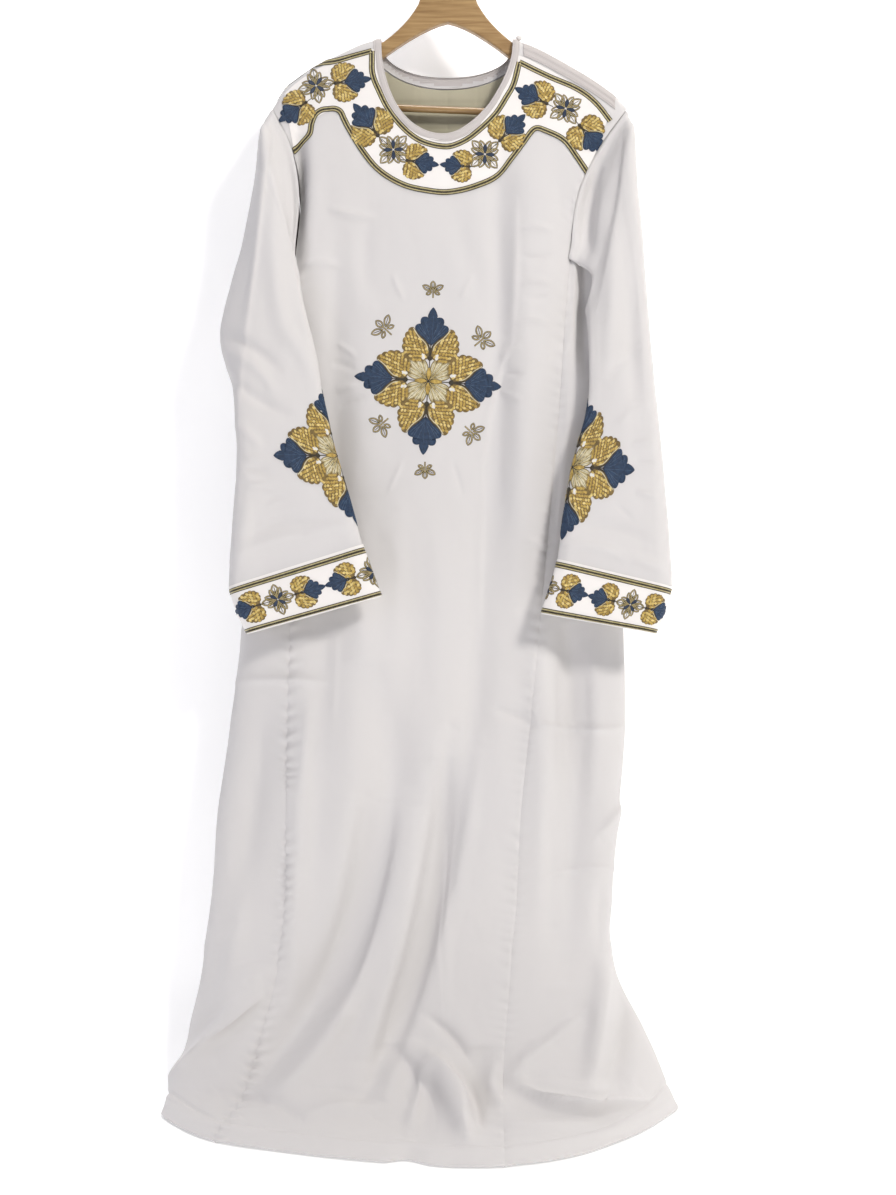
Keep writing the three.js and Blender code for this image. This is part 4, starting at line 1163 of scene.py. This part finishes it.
facing_x = np.linspace(92, -92, 90)
edge_x = np.minimum(np.abs(facing_x), NECK_HALF - 0.5)
facing_top = np.minimum(neckline(edge_x, NECK_BACK_Z, 0), along(SHOULDER, "x", facing_x, "z") - 34) - 2
t = np.linspace(0, 1, 70)[:, None]
facing_low = -335.0
facing_base = back_point(facing_x[None, :] + 0 * t, lerp(facing_top[None, :], facing_low, t))
facing_normals = grid_normals(facing_base)
px, py = photo_place(facing_base)
upright = 0.5 * np.exp(-((np.sin(px / 9.5) / 0.16) ** 2))
level = 0.5 * np.exp(-((np.sin(py / 8.2) / 0.2) ** 2))
facing_height = -1.6 + 0.8 * ripples(px, py, 83, 1.0) + (upright + level)
# the facing stays inside the back panel, which no crease or ripple may bring it through
facing_height = np.minimum(facing_height, -0.5)
facing_face = facing_base + facing_normals * facing_height[..., None]
back_facing = grid_mesh("back_facing_cloth", facing_face, FACING_CLOTH)

# The button
BUTTON_X, BUTTON_Y, BUTTON_Z = 0.091, -0.003, -0.1466
bpy.ops.mesh.primitive_uv_sphere_add(segments=32, ring_count=18, radius=0.004, location=(0, 0, 0))
button = bpy.context.active_object
button.name = "placket_button_knot"
for v in button.data.vertices:
    v.co = Vector((v.co.x + BUTTON_X, v.co.y + BUTTON_Y, v.co.z * 0.8 + BUTTON_Z))
button.data.materials.clear()
button.data.materials.append(BAND)
button.data.polygons.foreach_set("use_smooth", [True] * len(button.data.polygons))

# Embroidery: flat shapes in millimetres, drawn on a surface and padded

RINGS = ((1.0, 0.0), (0.9, 0.7), (0.75, 0.9), (0.58, 0.97), (0.4, 1.0), (0.2, 1.0))
SMALL_RINGS = ((1.0, 0.0), (0.6, 0.85))
LOW = 0.12


def mirrored(points):
    return [(-x, y) for x, y in reversed(points)]


def scalloped(points, bulges, steps=6):
    """A closed outline through notch points, each span bowed out by its share of its length."""
    points = np.array(points, float)
    line = []
    for k, bulge in enumerate(bulges):
        a, b = points[k], points[(k + 1) % len(points)]
        count = steps if bulge else 1
        t = (np.arange(count) / count)[:, None]
        out = np.array([b[1] - a[1], a[0] - b[0]])
        line.append(lerp(a, b, t) + out * bulge * np.sin(math.pi * t) ** 0.75)
    return np.concatenate(line)


def domed(outline, tall, low=LOW, rings=RINGS):
    """A padded shape: its outline drawn in ring by ring to its middle."""
    outline = np.asarray(outline, float)
    n, middle = len(outline), outline.mean(axis=0)
    flat = np.concatenate([middle + (outline - middle) * share for share, _ in rings] + [middle[None]])
    height = np.concatenate([np.full(n, low + tall * rise) for _, rise in rings] + [[low + tall]])
    i = np.arange(n)
    j = (i + 1) % n
    faces = []
    for k in range(len(rings) - 1):
        faces += np.stack([k * n + i, k * n + j, (k + 1) * n + j, (k + 1) * n + i], axis=1).tolist()
    last = (len(rings) - 1) * n
    faces += [[last + a, last + b, last + n] for a, b in zip(i, j)]
    return flat, height, faces


def beside(path):
    """Unit steps to the left of a path, at each of its points."""
    ahead = np.gradient(path, axis=0)
    ahead /= np.maximum(np.linalg.norm(ahead, axis=1, keepdims=True), 1e-9)
    return np.stack([-ahead[:, 1], ahead[:, 0]], axis=1)


def ribbon(path, width, tall, low=LOW, closed=False, taper=0.0):
    """A cord of stitches along a path."""
    path = np.asarray(path, float)
    if closed:
        path = np.concatenate([path, path[:2]])
    side = beside(path)
    at = np.linspace(0, 1, len(path))[:, None]
    half = width / 2 * (1 - taper * np.abs(2 * at - 1) ** 2.5)
    flat = np.concatenate([path - side * half, path, path + side * half])
    height = np.repeat([low, low + tall, low], len(path))
    n = len(path)
    i = np.arange(n - 1)
    faces = np.concatenate(
        [np.stack([k * n + i, k * n + i + 1, (k + 1) * n + i + 1, (k + 1) * n + i], axis=1) for k in (0, 1)]
    )
    return flat, height, faces.tolist()


def oval(middle, length, width, angle, tall, low=LOW, sides=8):
    """A small padded oval, turned by an angle."""
    a = np.arange(sides) * 2 * math.pi / sides
    points = np.stack([np.cos(a) * width / 2, np.sin(a) * length / 2], axis=1)
    return domed(turned(points, angle) + middle, tall, low, SMALL_RINGS)


def turned(flat, angle):
    c, s = math.cos(angle), math.sin(angle)
    flat = np.asarray(flat, float)
    return np.stack([flat[..., 0] * c - flat[..., 1] * s, flat[..., 0] * s + flat[..., 1] * c], axis=-1)


def bezier(points, steps):
    """A smooth curve through a start, a middle it bends to, and an end."""
    a, b, c = (np.array(p, float) for p in points)
    t = np.linspace(0, 1, steps)[:, None]
    return (1 - t) ** 2 * a + 2 * t * (1 - t) * b + t * t * c


def smooth_path(points, spacing):
    """Evenly spaced points on a smooth curve through a few."""
    points = np.array(points, float)
    key = np.concatenate([[0], np.cumsum(np.linalg.norm(np.diff(points, axis=0), axis=1))])
    at = np.linspace(0, key[-1], max(int(key[-1] / spacing), 2) + 1)
    return np.stack([along({"at": key, "v": points[:, k]}, "at", at, "v") for k in range(2)], axis=1)


def inside(points, outline):
    x, y = points[:, 0][:, None], points[:, 1][:, None]
    x0, y0 = outline[:, 0][None], outline[:, 1][None]
    x1, y1 = np.roll(x0, -1), np.roll(y0, -1)
    crosses = (y0 > y) != (y1 > y)
    at = x0 + (y - y0) * (x1 - x0) / np.where(y1 == y0, 1e-9, y1 - y0)
    return (crosses & (x < at)).sum(axis=1) % 2 == 1


class Needle:
    """Gathers padded shapes by thread and lays them all on one surface."""

    def __init__(self, region, surface, base=0.0):
        self.region, self.surface, self.base = region, surface, base
        self.parts = {}
        self.frames = [((0.0, 0.0), 0.0, (1.0, 1.0))]

    def draw(self, thread, shape):
        flat, height, faces = shape
        for origin, angle, stretch in reversed(self.frames):
            flat = turned(flat, angle) * stretch + origin
        self.parts.setdefault(thread, []).append((flat, height, faces))

    def at(self, origin, angle=0.0, stretch=(1.0, 1.0)):
        self.frames.append((origin, angle, stretch))
        return self

    def back(self):
        self.frames.pop()

    def finish(self):
        for thread, parts in self.parts.items():
            material, slot = THREADS[thread]
            flat = np.concatenate([p[0] for p in parts])
            height = np.concatenate([p[1] for p in parts]) + self.base
            faces, start = [], 0
            for part in parts:
                faces += [[start + v for v in f] for f in part[2]]
                start += len(part[0])
            points, normals = self.surface(flat[:, 0], flat[:, 1])
            obj = put(f"{self.region}_{thread}", points + normals * height[:, None], faces, material)
            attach(obj, "root")


THREADS = {
    "gold": (GOLD, "thread_gold"),
    "edge_and_gap_shade": (GOLD_EDGE_AND_GAP_SHADE, "thread_gold"),
    "glint": (GOLD_GLINT, "thread_gold"),
    "pale": (PALE, "thread_gold"),
    "cream": (CREAM, "thread_gold"),
    "straw": (STRAW, "thread_gold"),
    "blue": (BLUE, "thread_blue"),
    "navy": (NAVY, "thread_blue"),
    "sky": (SKY_PAINTED_HIGHLIGHT, "thread_blue"),
    "dark": (DARK, "thread_dark"),
    "cotton": (COTTON, "band_white"),
}

# One arm of a leaf cross, pointing up: half of the blue leaf, and the gold leaf on its right
KNOT_UP, KNOT_TO_TIP = 30.5, 67
BLUE_HALF = [(0, 47), (3.4, 50.5), (9.6, 56.6), (16.8, 62), (19.5, 64.5), (15, 75.5), (5.2, 84), (5.3, 89)]
BLUE_BOWS = [0, 0, 0, 0, 0.42, 0.42, 0.16, 0.07]
GOLD_LEAF = [
    (8, 28), (15, 25.5), (23, 26.3), (30.5, 31), (35, 39), (36, 48), (34, 56.5), (31, 64), (24.5, 70),
    (17, 60.5), (9, 54), (3.2, 47), (1.4, 40), (1.8, 32),
]
GOLD_BOWS = [0.26] * 8 + [0.0, 0, 0, 0, 0, 0.12]
BLUE_VEINS = [
    ((0, 50), (0, 70), (0, 93)),
    ((0.5, 56), (4, 66), (7.5, 79)), ((1, 54), (8, 62), (14.5, 75)), ((1.5, 52.5), (9, 59), (18, 68)),
    ((3, 64), (6, 70), (10, 80)), ((6, 60), (13, 66), (18, 74)),
]


def leaf_arm(needle, s, spacing=4.6):
    """A blue leaf between two gold ones, on a stem with a knot."""
    fine = max(s, 0.72)
    blue = scalloped(BLUE_HALF + [(0, 98)] + mirrored(BLUE_HALF)[:-1], BLUE_BOWS + BLUE_BOWS[::-1])
    needle.draw("blue", domed(blue * s, 0.5))
    needle.draw("navy", ribbon(blue * s, 0.9 * fine, 0.3, closed=True))
    for way in (1, -1):
        joint = smooth_path([(1.2, 30), (1.4, 40), (3.4, 47.6), (9.4, 55), (17, 61.2), (22, 67)], 3)
        needle.draw("dark", ribbon(joint * (way, 1) * s, 2.6 * fine, 0.3))
    for vein in BLUE_VEINS:
        for way in ((1, -1) if vein[2][0] else (1,)):
            path = bezier(vein, 7) * (way, 1) * s
            needle.draw("navy", ribbon(path, 1.25 * fine, 0.18, 0.52, taper=0.5))
            # a light blue line beside each dark vein: painted highlight along the vein's edge
            needle.draw("sky", ribbon(path + (0.9 * way, 0.5), 0.7 * fine, 0.16, 0.5, taper=0.6))
    leaf = scalloped(GOLD_LEAF, GOLD_BOWS)
    for way in (1, -1):
        edge = leaf if way > 0 else leaf[::-1] * (-1, 1)
        # the dark gold under the scales shows in their gaps as painted shade, and edges the leaf as its
        # outline
        needle.draw("edge_and_gap_shade", domed(edge * s, 0.35))
        needle.draw("edge_and_gap_shade", ribbon(edge * s, 1.0 * fine, 0.34, closed=True))
        inner = smooth_path([(24.5, 69.5), (17, 59.2), (9.4, 52.6), (4.4, 46), (3.2, 39)], 2.5)
        needle.draw("cream", ribbon((inner + (0.2, -0.3)) * (way, 1) * s, 1.15 * fine, 0.3, 0.5))
        # rows of scales that fan out from the leaf's foot
        gap = spacing / s
        grid = []
        for k, reach in enumerate(np.arange(3, 46, gap * 0.78)):
            step = gap / max(reach, 3)
            grid += [(4 + reach * math.sin(a), 32 + reach * math.cos(a), a)
                     for a in np.arange(-0.3 + (k % 2) * step / 2, 2.4, step)]
        grid = np.array(grid)
        middle = leaf.mean(axis=0)
        kept = grid[inside(middle + (grid[:, :2] - middle) * 1.13, leaf)]
        for n, (x, y, a) in enumerate(kept):
            lean = -a + 0.75 * math.sin(n * 2.4 + x)
            size = 1 + 0.16 * math.sin(n * 1.7 + y)
            # some of the scales, picked at random, take the light gold: painted glints on the metal thread
            thread = "gold" if math.sin(n * 4.1 + y * 2) < 0.35 else "glint"
            needle.draw(thread, oval((x * way * s, y * s), 4.9 * size, 3.5, lean * way, 0.5, 0.38))
    needle.draw("dark", ribbon(bezier([(0, 17 * s), (0, 33 * s), (0, 50 * s)], 8), 1.3 * fine, 0.25, 0.3))
    needle.draw("dark", oval((0, KNOT_UP * s), 7.0 * s, 7.0 * s, 0, 0.7, 0.35, 10))


def petal_loop(start, end, width, steps, lean=1.0):
    """The outline of a petal that points up. With more lean it is widest nearer its tip."""
    t = np.linspace(0, 1, steps)[:, None]
    half = width / 2 * np.sin(math.pi * t**lean) ** 0.8
    line = start + (end - start) * t
    return np.concatenate([np.hstack([half, line]), np.hstack([-half, line])[-2:0:-1]])


def petal(needle, angle, start, end, width, rib=True, tall=0.3, fill=None):
    """A filigree petal: an outline of pale thread with a dark rib in it."""
    loop = petal_loop(start, end, width, 11, 1.15)
    needle.at((0, 0), angle)
    if fill:
        needle.draw(fill, domed(loop, 0.2, rings=SMALL_RINGS))
    needle.draw("dark", ribbon(loop, 2.2, tall * 0.5, closed=True))
    needle.draw("pale", ribbon(loop, 1.1, tall, 0.2, closed=True))
    if rib:
        middle = bezier([(0, start + 2), (0, (start + end) / 2), (0, end - 2.5)], 6)
        needle.draw("dark", ribbon(middle, 0.9, tall * 0.6, 0.2, taper=0.5))
    needle.back()


def solid_petal(needle, angle, start, end, width, thread, tall=0.5):
    """A padded petal with a dark edge."""
    loop = petal_loop(start, end, width, 9)
    needle.at((0, 0), angle)
    needle.draw(thread, domed(loop, tall, 0.25))
    needle.draw("dark", ribbon(loop, 0.85, 0.4, 0.2, closed=True))
    needle.back()


def leaf_cross(needle, s):
    """Four leaf arms round a starburst of petals."""
    for quarter in range(4):
        turn = quarter * math.pi / 2
        for part, tip, width in ((0, 38, 8), (15, 35, 7), (-15, 35, 7), (30, 29, 5), (-30, 29, 5)):
            petal(needle, turn + math.radians(45 + part), 7 * s, tip * s, width * s, fill="cream")
    for quarter in range(4):
        turn = quarter * math.pi / 2
        needle.at((0, 0), turn)
        leaf_arm(needle, s)
        for way in (1, -1):
            needle.draw("cotton", oval((way * 9 * s, 32.6 * s), 9.5 * s, 5.4 * s, -0.12 * way, 0.6, 0.4, 10))
        needle.back()
        solid_petal(needle, turn, 1 * s, 19 * s, 6.2 * s, "gold")
        solid_petal(needle, turn + math.pi / 4, 2 * s, 15 * s, 3.0 * s, "pale", 0.35)
    needle.draw("dark", oval((0, 0), 3.2, 3.2, 0, 0.6, 0.5))


def small_cross(needle, size):
    """A square flower: filigree petals on the diagonals and four dark blue ones between."""
    for quarter in range(4):
        turn = quarter * math.pi / 2
        for part, tip, width in ((25, 0.82, 0.3), (-25, 0.82, 0.3), (0, 1.04, 0.42)):
            petal(needle, turn + math.radians(45 + part), size * 0.12, size * tip, size * width)
        solid_petal(needle, turn, size * 0.05, size * 0.58, size * 0.22, "navy")


def bud_spray(needle, size):
    """A small sprig of three buds, a stem and two leaves, outlined in gold."""
    for angle, tip in ((0, 0.8), (62, 0.95), (-62, 0.95)):
        petal(needle, math.radians(angle), size * 0.16, size * tip, size * 0.36, tall=0.4)
    for angle in (118, -118):
        petal(needle, math.radians(angle), size * 0.16, size * 0.62, size * 0.22, rib=False, tall=0.4)
    stem = bezier([(0, size * 0.24), (size * 0.02, 0), (0, -size * 0.6)], 6)
    needle.draw("dark", ribbon(stem, 2.0, 0.2))
    needle.draw("pale", ribbon(stem, 1.2, 0.4, 0.2))


def border(needle, path):
    """Three cords side by side: gold, dark and gold, with a dark edge to each gold one."""
    side = beside(path)
    needle.draw("dark", ribbon(path, 2.3, 0.5))
    for way in (1, -1):
        needle.draw("straw", ribbon(path + side * 1.95 * way, 1.6, 0.6))
        needle.draw("dark", ribbon(path + side * 3.15 * way, 1.1, 0.5))


def on_pixel(needle, motif, px, py, turn, size):
    """Draws a motif where the photo shows a pixel, turned by some degrees."""
    x, z = front_seen(px, py)
    needle.at((float(x), float(z)), math.radians(turn))
    motif(needle, size)
    needle.back()


# Pixel, turn and size of each spray
SPRAYS = [
    (433, 291, 0, 15), (425, 469, 180, 15), (385, 329, 48, 19), (481, 340, -48, 19),
    (382, 424, 132, 18), (471, 432, -132, 18),
]
chest_needle = Needle("chest_cross", on_front)
on_pixel(chest_needle, leaf_cross, 428.3, 381.2, -4, 0.95)
for spray in SPRAYS:
    on_pixel(chest_needle, bud_spray, *spray)
chest_needle.finish()

# The yoke's borders and motifs, in pixels of the photo
INNER_BORDER = [
    [(280.3, 90), (290, 82), (304.5, 71.7), (313.7, 67.5), (335, 61.7), (355, 56), (372, 51.5)],
    [(372, 51.5), (372, 60), (372, 70), (373.6, 78), (377, 86.7), (388.7, 110), (405.3, 130), (422, 141.7),
     (445, 146.7), (460, 143), (473.3, 135), (495, 115), (506, 98), (513.3, 85), (519.2, 62.5)],
    [(519.2, 62.5), (548.3, 76.7), (576.7, 89.2), (595, 103), (610, 121.7)],
]
OUTER_BORDER = [
    (291.2, 150), (300, 142), (309.5, 134), (311.5, 124), (315.3, 115), (321, 110.5), (328.7, 109.2),
    (335, 109), (340.3, 111.7), (344, 119), (348.7, 128.3), (362, 150), (378.7, 170), (403.7, 185),
    (428.7, 190.8), (448, 192), (473.3, 186.7), (498.3, 175), (513.3, 156.7), (524, 142), (532, 131),
    (536.7, 128.3), (543.3, 130), (563.3, 140), (576, 156), (588.3, 174.2),
]
# Each leaf arm's knot and tip
YOKE_ARMS = [
    ((306.2, 102.5), (279, 122)), ((335.3, 83.7), (371.2, 79.2)), ((377.8, 135.8), (353.7, 104.2)),
    ((407, 160.8), (438.7, 165.2)), ((469.2, 166.7), (440, 164.6)), ((500, 140.8), (525, 115)),
    ((546.7, 104.2), (515, 88.3)), ((579.2, 125.8), (602.5, 153.3)),
]
YOKE_CROSSES = [
    (316.2, 86, -34, 22), (393.4, 150, 2, 22.5), (484.7, 154.5, -2, 22), (565.5, 109.2, -13, 22),
]
yoke_needle = Needle("yoke", on_front, 0.75)
for line in (*INNER_BORDER, OUTER_BORDER):
    px, py = np.array(line).T
    border(yoke_needle, smooth_path(np.stack(front_seen(px, py), axis=1), 2.4))
for ends in YOKE_ARMS:
    bead, tip = (np.array(front_seen(*end)) for end in ends)
    reach = tip - bead
    s = float(np.hypot(*reach)) / KNOT_TO_TIP
    angle = math.atan2(-reach[0], reach[1])
    yoke_needle.at(tuple(bead - turned((0, KNOT_UP * s), angle)), angle)
    leaf_arm(yoke_needle, s, 4.2)
    yoke_needle.back()
for cross in YOKE_CROSSES:
    on_pixel(yoke_needle, small_cross, *cross)
yoke_needle.finish()


def nearest(face, normals, px, py):
    """The grid place of a tube's face that the photo shows at a pixel."""
    gx, gy = photo_place(face)
    far = np.hypot(gx - px, gy - py) + np.where(normals[..., 1] > 0.3, 40, 0)
    return np.unravel_index(np.argmin(far), far.shape)


def on_tube(face, row0, col0, by_row=False):
    """A surface round a tube: u runs round it to the viewer's right and v runs up it, from a place."""
    normals = grid_normals(face, True)
    around = np.linalg.norm(np.roll(face, -1, axis=1) - face, axis=-1).sum(axis=1) / face.shape[1]
    steps = np.linalg.norm(np.diff(face[:, col0], axis=0), axis=-1)
    length = np.concatenate([[0], np.cumsum(steps)])
    length -= length[row0]
    low, high = max(row0 - 3, 0), min(row0 + 3, face.shape[0] - 1)
    down = face[high, col0] - face[low, col0]
    down /= np.linalg.norm(down)
    cols = face.shape[1]
    right = face[row0, (col0 + 2) % cols] - face[row0, (col0 - 2) % cols]
    right /= np.linalg.norm(right)
    skew = 0.0 if by_row else float(right @ down)
    square = math.sqrt(1 - skew * skew)

    def surface(u, v):
        row = np.interp(-v - u * skew / square, length, np.arange(len(length)))
        pitch = np.interp(row, np.arange(len(around)), around)
        return sampled(face, normals, row, col0 + u / square / pitch, closed=True)

    return surface


ELBOWS = {"left": (337, 456), "right": (573, 467)}
for name, (px, py) in ELBOWS.items():
    face = sleeve_faces[name]
    normals = grid_normals(face, True)
    row0, col0 = nearest(face, normals, px, py)
    needle = Needle(f"elbow_{name}", on_tube(face, row0, col0), 0.25)
    needle.at((0, 0), 0.0, (0.86, 1))
    leaf_cross(needle, 0.93)
    needle.back()
    needle.finish()

# The cuffs' repeat: a cross, an arm to the right, an arm to the left, and so on round the band
CUFFS = {
    "left": dict(px=311, py=588, start=-43.5, pitch=124.0, stretch=(0.575, 0.55), first=-2),
    "right": dict(px=597, py=592, start=45.5, pitch=108.0, stretch=(0.5, 0.56), first=-3),
}
for name, plan in CUFFS.items():
    face = cuff_faces[name]
    normals = grid_normals(face, True)
    row0, col0 = nearest(face, normals, plan["px"], plan["py"])
    row0 = face.shape[0] // 2
    needle = Needle(f"cuff_{name}", on_tube(face, row0, col0, True), 0.1)
    around = float(np.linalg.norm(np.roll(face, -1, axis=1) - face, axis=-1).sum(axis=1)[row0])
    height = float(np.linalg.norm(np.diff(face[:, col0], axis=0), axis=-1).sum())
    for v in (height / 2 - 4.6, -height / 2 + 4.6):
        u = np.linspace(-around / 2, around / 2, 170)
        border(needle, np.stack([u, np.full(170, v)], axis=1))
    wide, high = plan["stretch"]
    pitch = plan["pitch"]
    for n in range(plan["first"], plan["first"] + 6):
        middle = plan["start"] + n * pitch
        if abs(middle) < around / 2 - 18:
            needle.at((middle, 0), 0.0, (wide / high, 1))
            needle.at((0, 0), math.pi / 4)
            small_cross(needle, 19)
            needle.back()
            needle.back()
        for way in (1, -1):
            bead = middle + pitch * (0.19 if way > 0 else 0.81)
            if abs(bead + way * 20) > around / 2 - 24:
                continue
            needle.at((bead, 0), 0.0, (wide / high, 1))
            needle.at((0, 0), -way * math.pi / 2)
            needle.at((0, -KNOT_UP * high), 0.0)
            leaf_arm(needle, high, 4.2)
            for _ in range(3):
                needle.back()
    needle.finish()

# Wood and steel


def wood_material():
    material, tree, shader = principled("wood", (0.47, 0.29, 0.12), 0.38, Coat_Weight=0.3)
    nodes, links = tree.nodes, tree.links
    place = nodes.new("ShaderNodeTexCoord")
    stretch = nodes.new("ShaderNodeMapping")
    stretch.inputs["Scale"].default_value = (6, 60, 90)
    grain = nodes.new("ShaderNodeTexNoise")
    grain.inputs["Scale"].default_value = 3
    grain.inputs["Detail"].default_value = 6
    links.new(place.outputs["Object"], stretch.inputs["Vector"])
    links.new(stretch.outputs["Vector"], grain.inputs["Vector"])
    ramp = nodes.new("ShaderNodeValToRGB")
    ramp.color_ramp.elements[0].color = (0.27, 0.155, 0.06, 1)
    ramp.color_ramp.elements[0].position = 0.3
    ramp.color_ramp.elements[1].color = (0.44, 0.285, 0.125, 1)
    ramp.color_ramp.elements[1].position = 0.68
    links.new(grain.outputs["Fac"], ramp.inputs["Fac"])
    links.new(ramp.outputs["Color"], shader.inputs["Base Color"])
    return material


WOOD = wood_material()
STEEL, _, _ = principled("hook_steel", (0.6, 0.6, 0.62), 0.22, Metallic=1.0)
for node, material in (("hanger_body", WOOD), ("hanger_bar", WOOD), ("hanger_hook", STEEL)):
    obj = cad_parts[node]
    obj.data.materials.clear()
    obj.data.materials.append(material)

# Riding: each piece rides the root, and its part from the model is hidden

COVERS = [
    (front_panel, "front_panel", "cloth_white"),
    (back_panel, "back_panel", "cloth_white"),
    (side_panels["left"], "side_panel_left", "cloth_white"),
    (side_panels["right"], "side_panel_right", "cloth_white"),
    (sleeves["left"], "sleeve_left", "cloth_white"),
    (sleeves["right"], "sleeve_right", "cloth_white"),
    (cuffs["left"], "cuff_left", "band_white"),
    (cuffs["right"], "cuff_right", "band_white"),
    (yoke, "yoke", "band_white"),
    (binding, "neck_binding", "band_white"),
    (placket, "shoulder_placket", "band_white"),
    (back_facing, "back_facing", "facing_beige"),
    (button, "placket_button", "band_white"),
]
for piece, node, slot in COVERS:
    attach(piece, "root")
    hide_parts(node)

# Floor, backdrop, lights and camera

floor_z = FLOOR_Z - 2.2  # just under the hem's lowest layer


def backdrop_material():
    material, tree, shader = principled("backdrop", (0.97, 0.97, 0.97), 0.9)
    shader.inputs["Emission Color"].default_value = (1, 1, 1, 1)
    shader.inputs["Emission Strength"].default_value = 0.3
    nodes, links = tree.nodes, tree.links
    clear = nodes.new("ShaderNodeBsdfTransparent")
    mix = nodes.new("ShaderNodeMixShader")
    side = nodes.new("ShaderNodeNewGeometry")
    links.new(side.outputs["Backfacing"], mix.inputs["Fac"])
    links.new(shader.outputs["BSDF"], mix.inputs[1])
    links.new(clear.outputs["BSDF"], mix.inputs[2])
    links.new(mix.outputs["Shader"], nodes["Material Output"].inputs["Surface"])
    return material


WALL_Y, BEND = 78.0, 140.0
profile = [(-4000, floor_z), (WALL_Y - BEND, floor_z)]
for a in range(0, 91, 9):
    r = math.radians(a)
    profile.append((WALL_Y - BEND * (1 - math.sin(r)), floor_z + BEND * (1 - math.cos(r))))
profile.append((WALL_Y, 3000))
sweep = np.array([[[x, y, z] for x in (-4000, 4000)] for y, z in profile], float)
stage = grid_mesh("backdrop_sweep", sweep[:, ::-1], backdrop_material())


def area_light(name, place, aim, size, power, color):
    """A round light at a place, turned to what it aims at, in metres and watts."""
    data = bpy.data.lights.new(name, "AREA")
    data.shape = "DISK"
    data.size = size
    data.energy = power
    data.color = color
    obj = add_object(name, data)
    obj.location = place
    direction = Vector(aim) - Vector(place)
    obj.rotation_euler = direction.to_track_quat("-Z", "Y").to_euler()


area_light("key", (1.6, -2.4, 0.95), (0, 0, -0.9), 0.55, 61, (1.0, 0.965, 0.925))
area_light("cool_side", (-2.3, -1.9, -0.5), (0, 0, -1.0), 1.2, 9, (0.82, 0.83, 1.0))
area_light("above", (0.2, -0.7, 2.4), (0, -0.15, -1.5), 0.8, 28, (1.0, 0.97, 0.94))

world = bpy.data.worlds.new("studio")
bpy.context.scene.world = world
world.use_nodes = True
world.node_tree.nodes["Background"].inputs["Color"].default_value = (0.92, 0.92, 1.0, 1)
world.node_tree.nodes["Background"].inputs["Strength"].default_value = 0.2
bpy.context.scene.view_settings.view_transform = "Standard"

camera_data = bpy.data.cameras.new("camera")
camera_data.sensor_width = 36
camera_data.lens = camera_data.sensor_width * FOCAL / PHOTO_TALL
camera = add_object("camera", camera_data)
camera.location = (0, -EYE_DISTANCE * MM, EYE_Z * MM)
camera.rotation_euler = (math.pi / 2, 0, 0)
bpy.context.scene.camera = camera
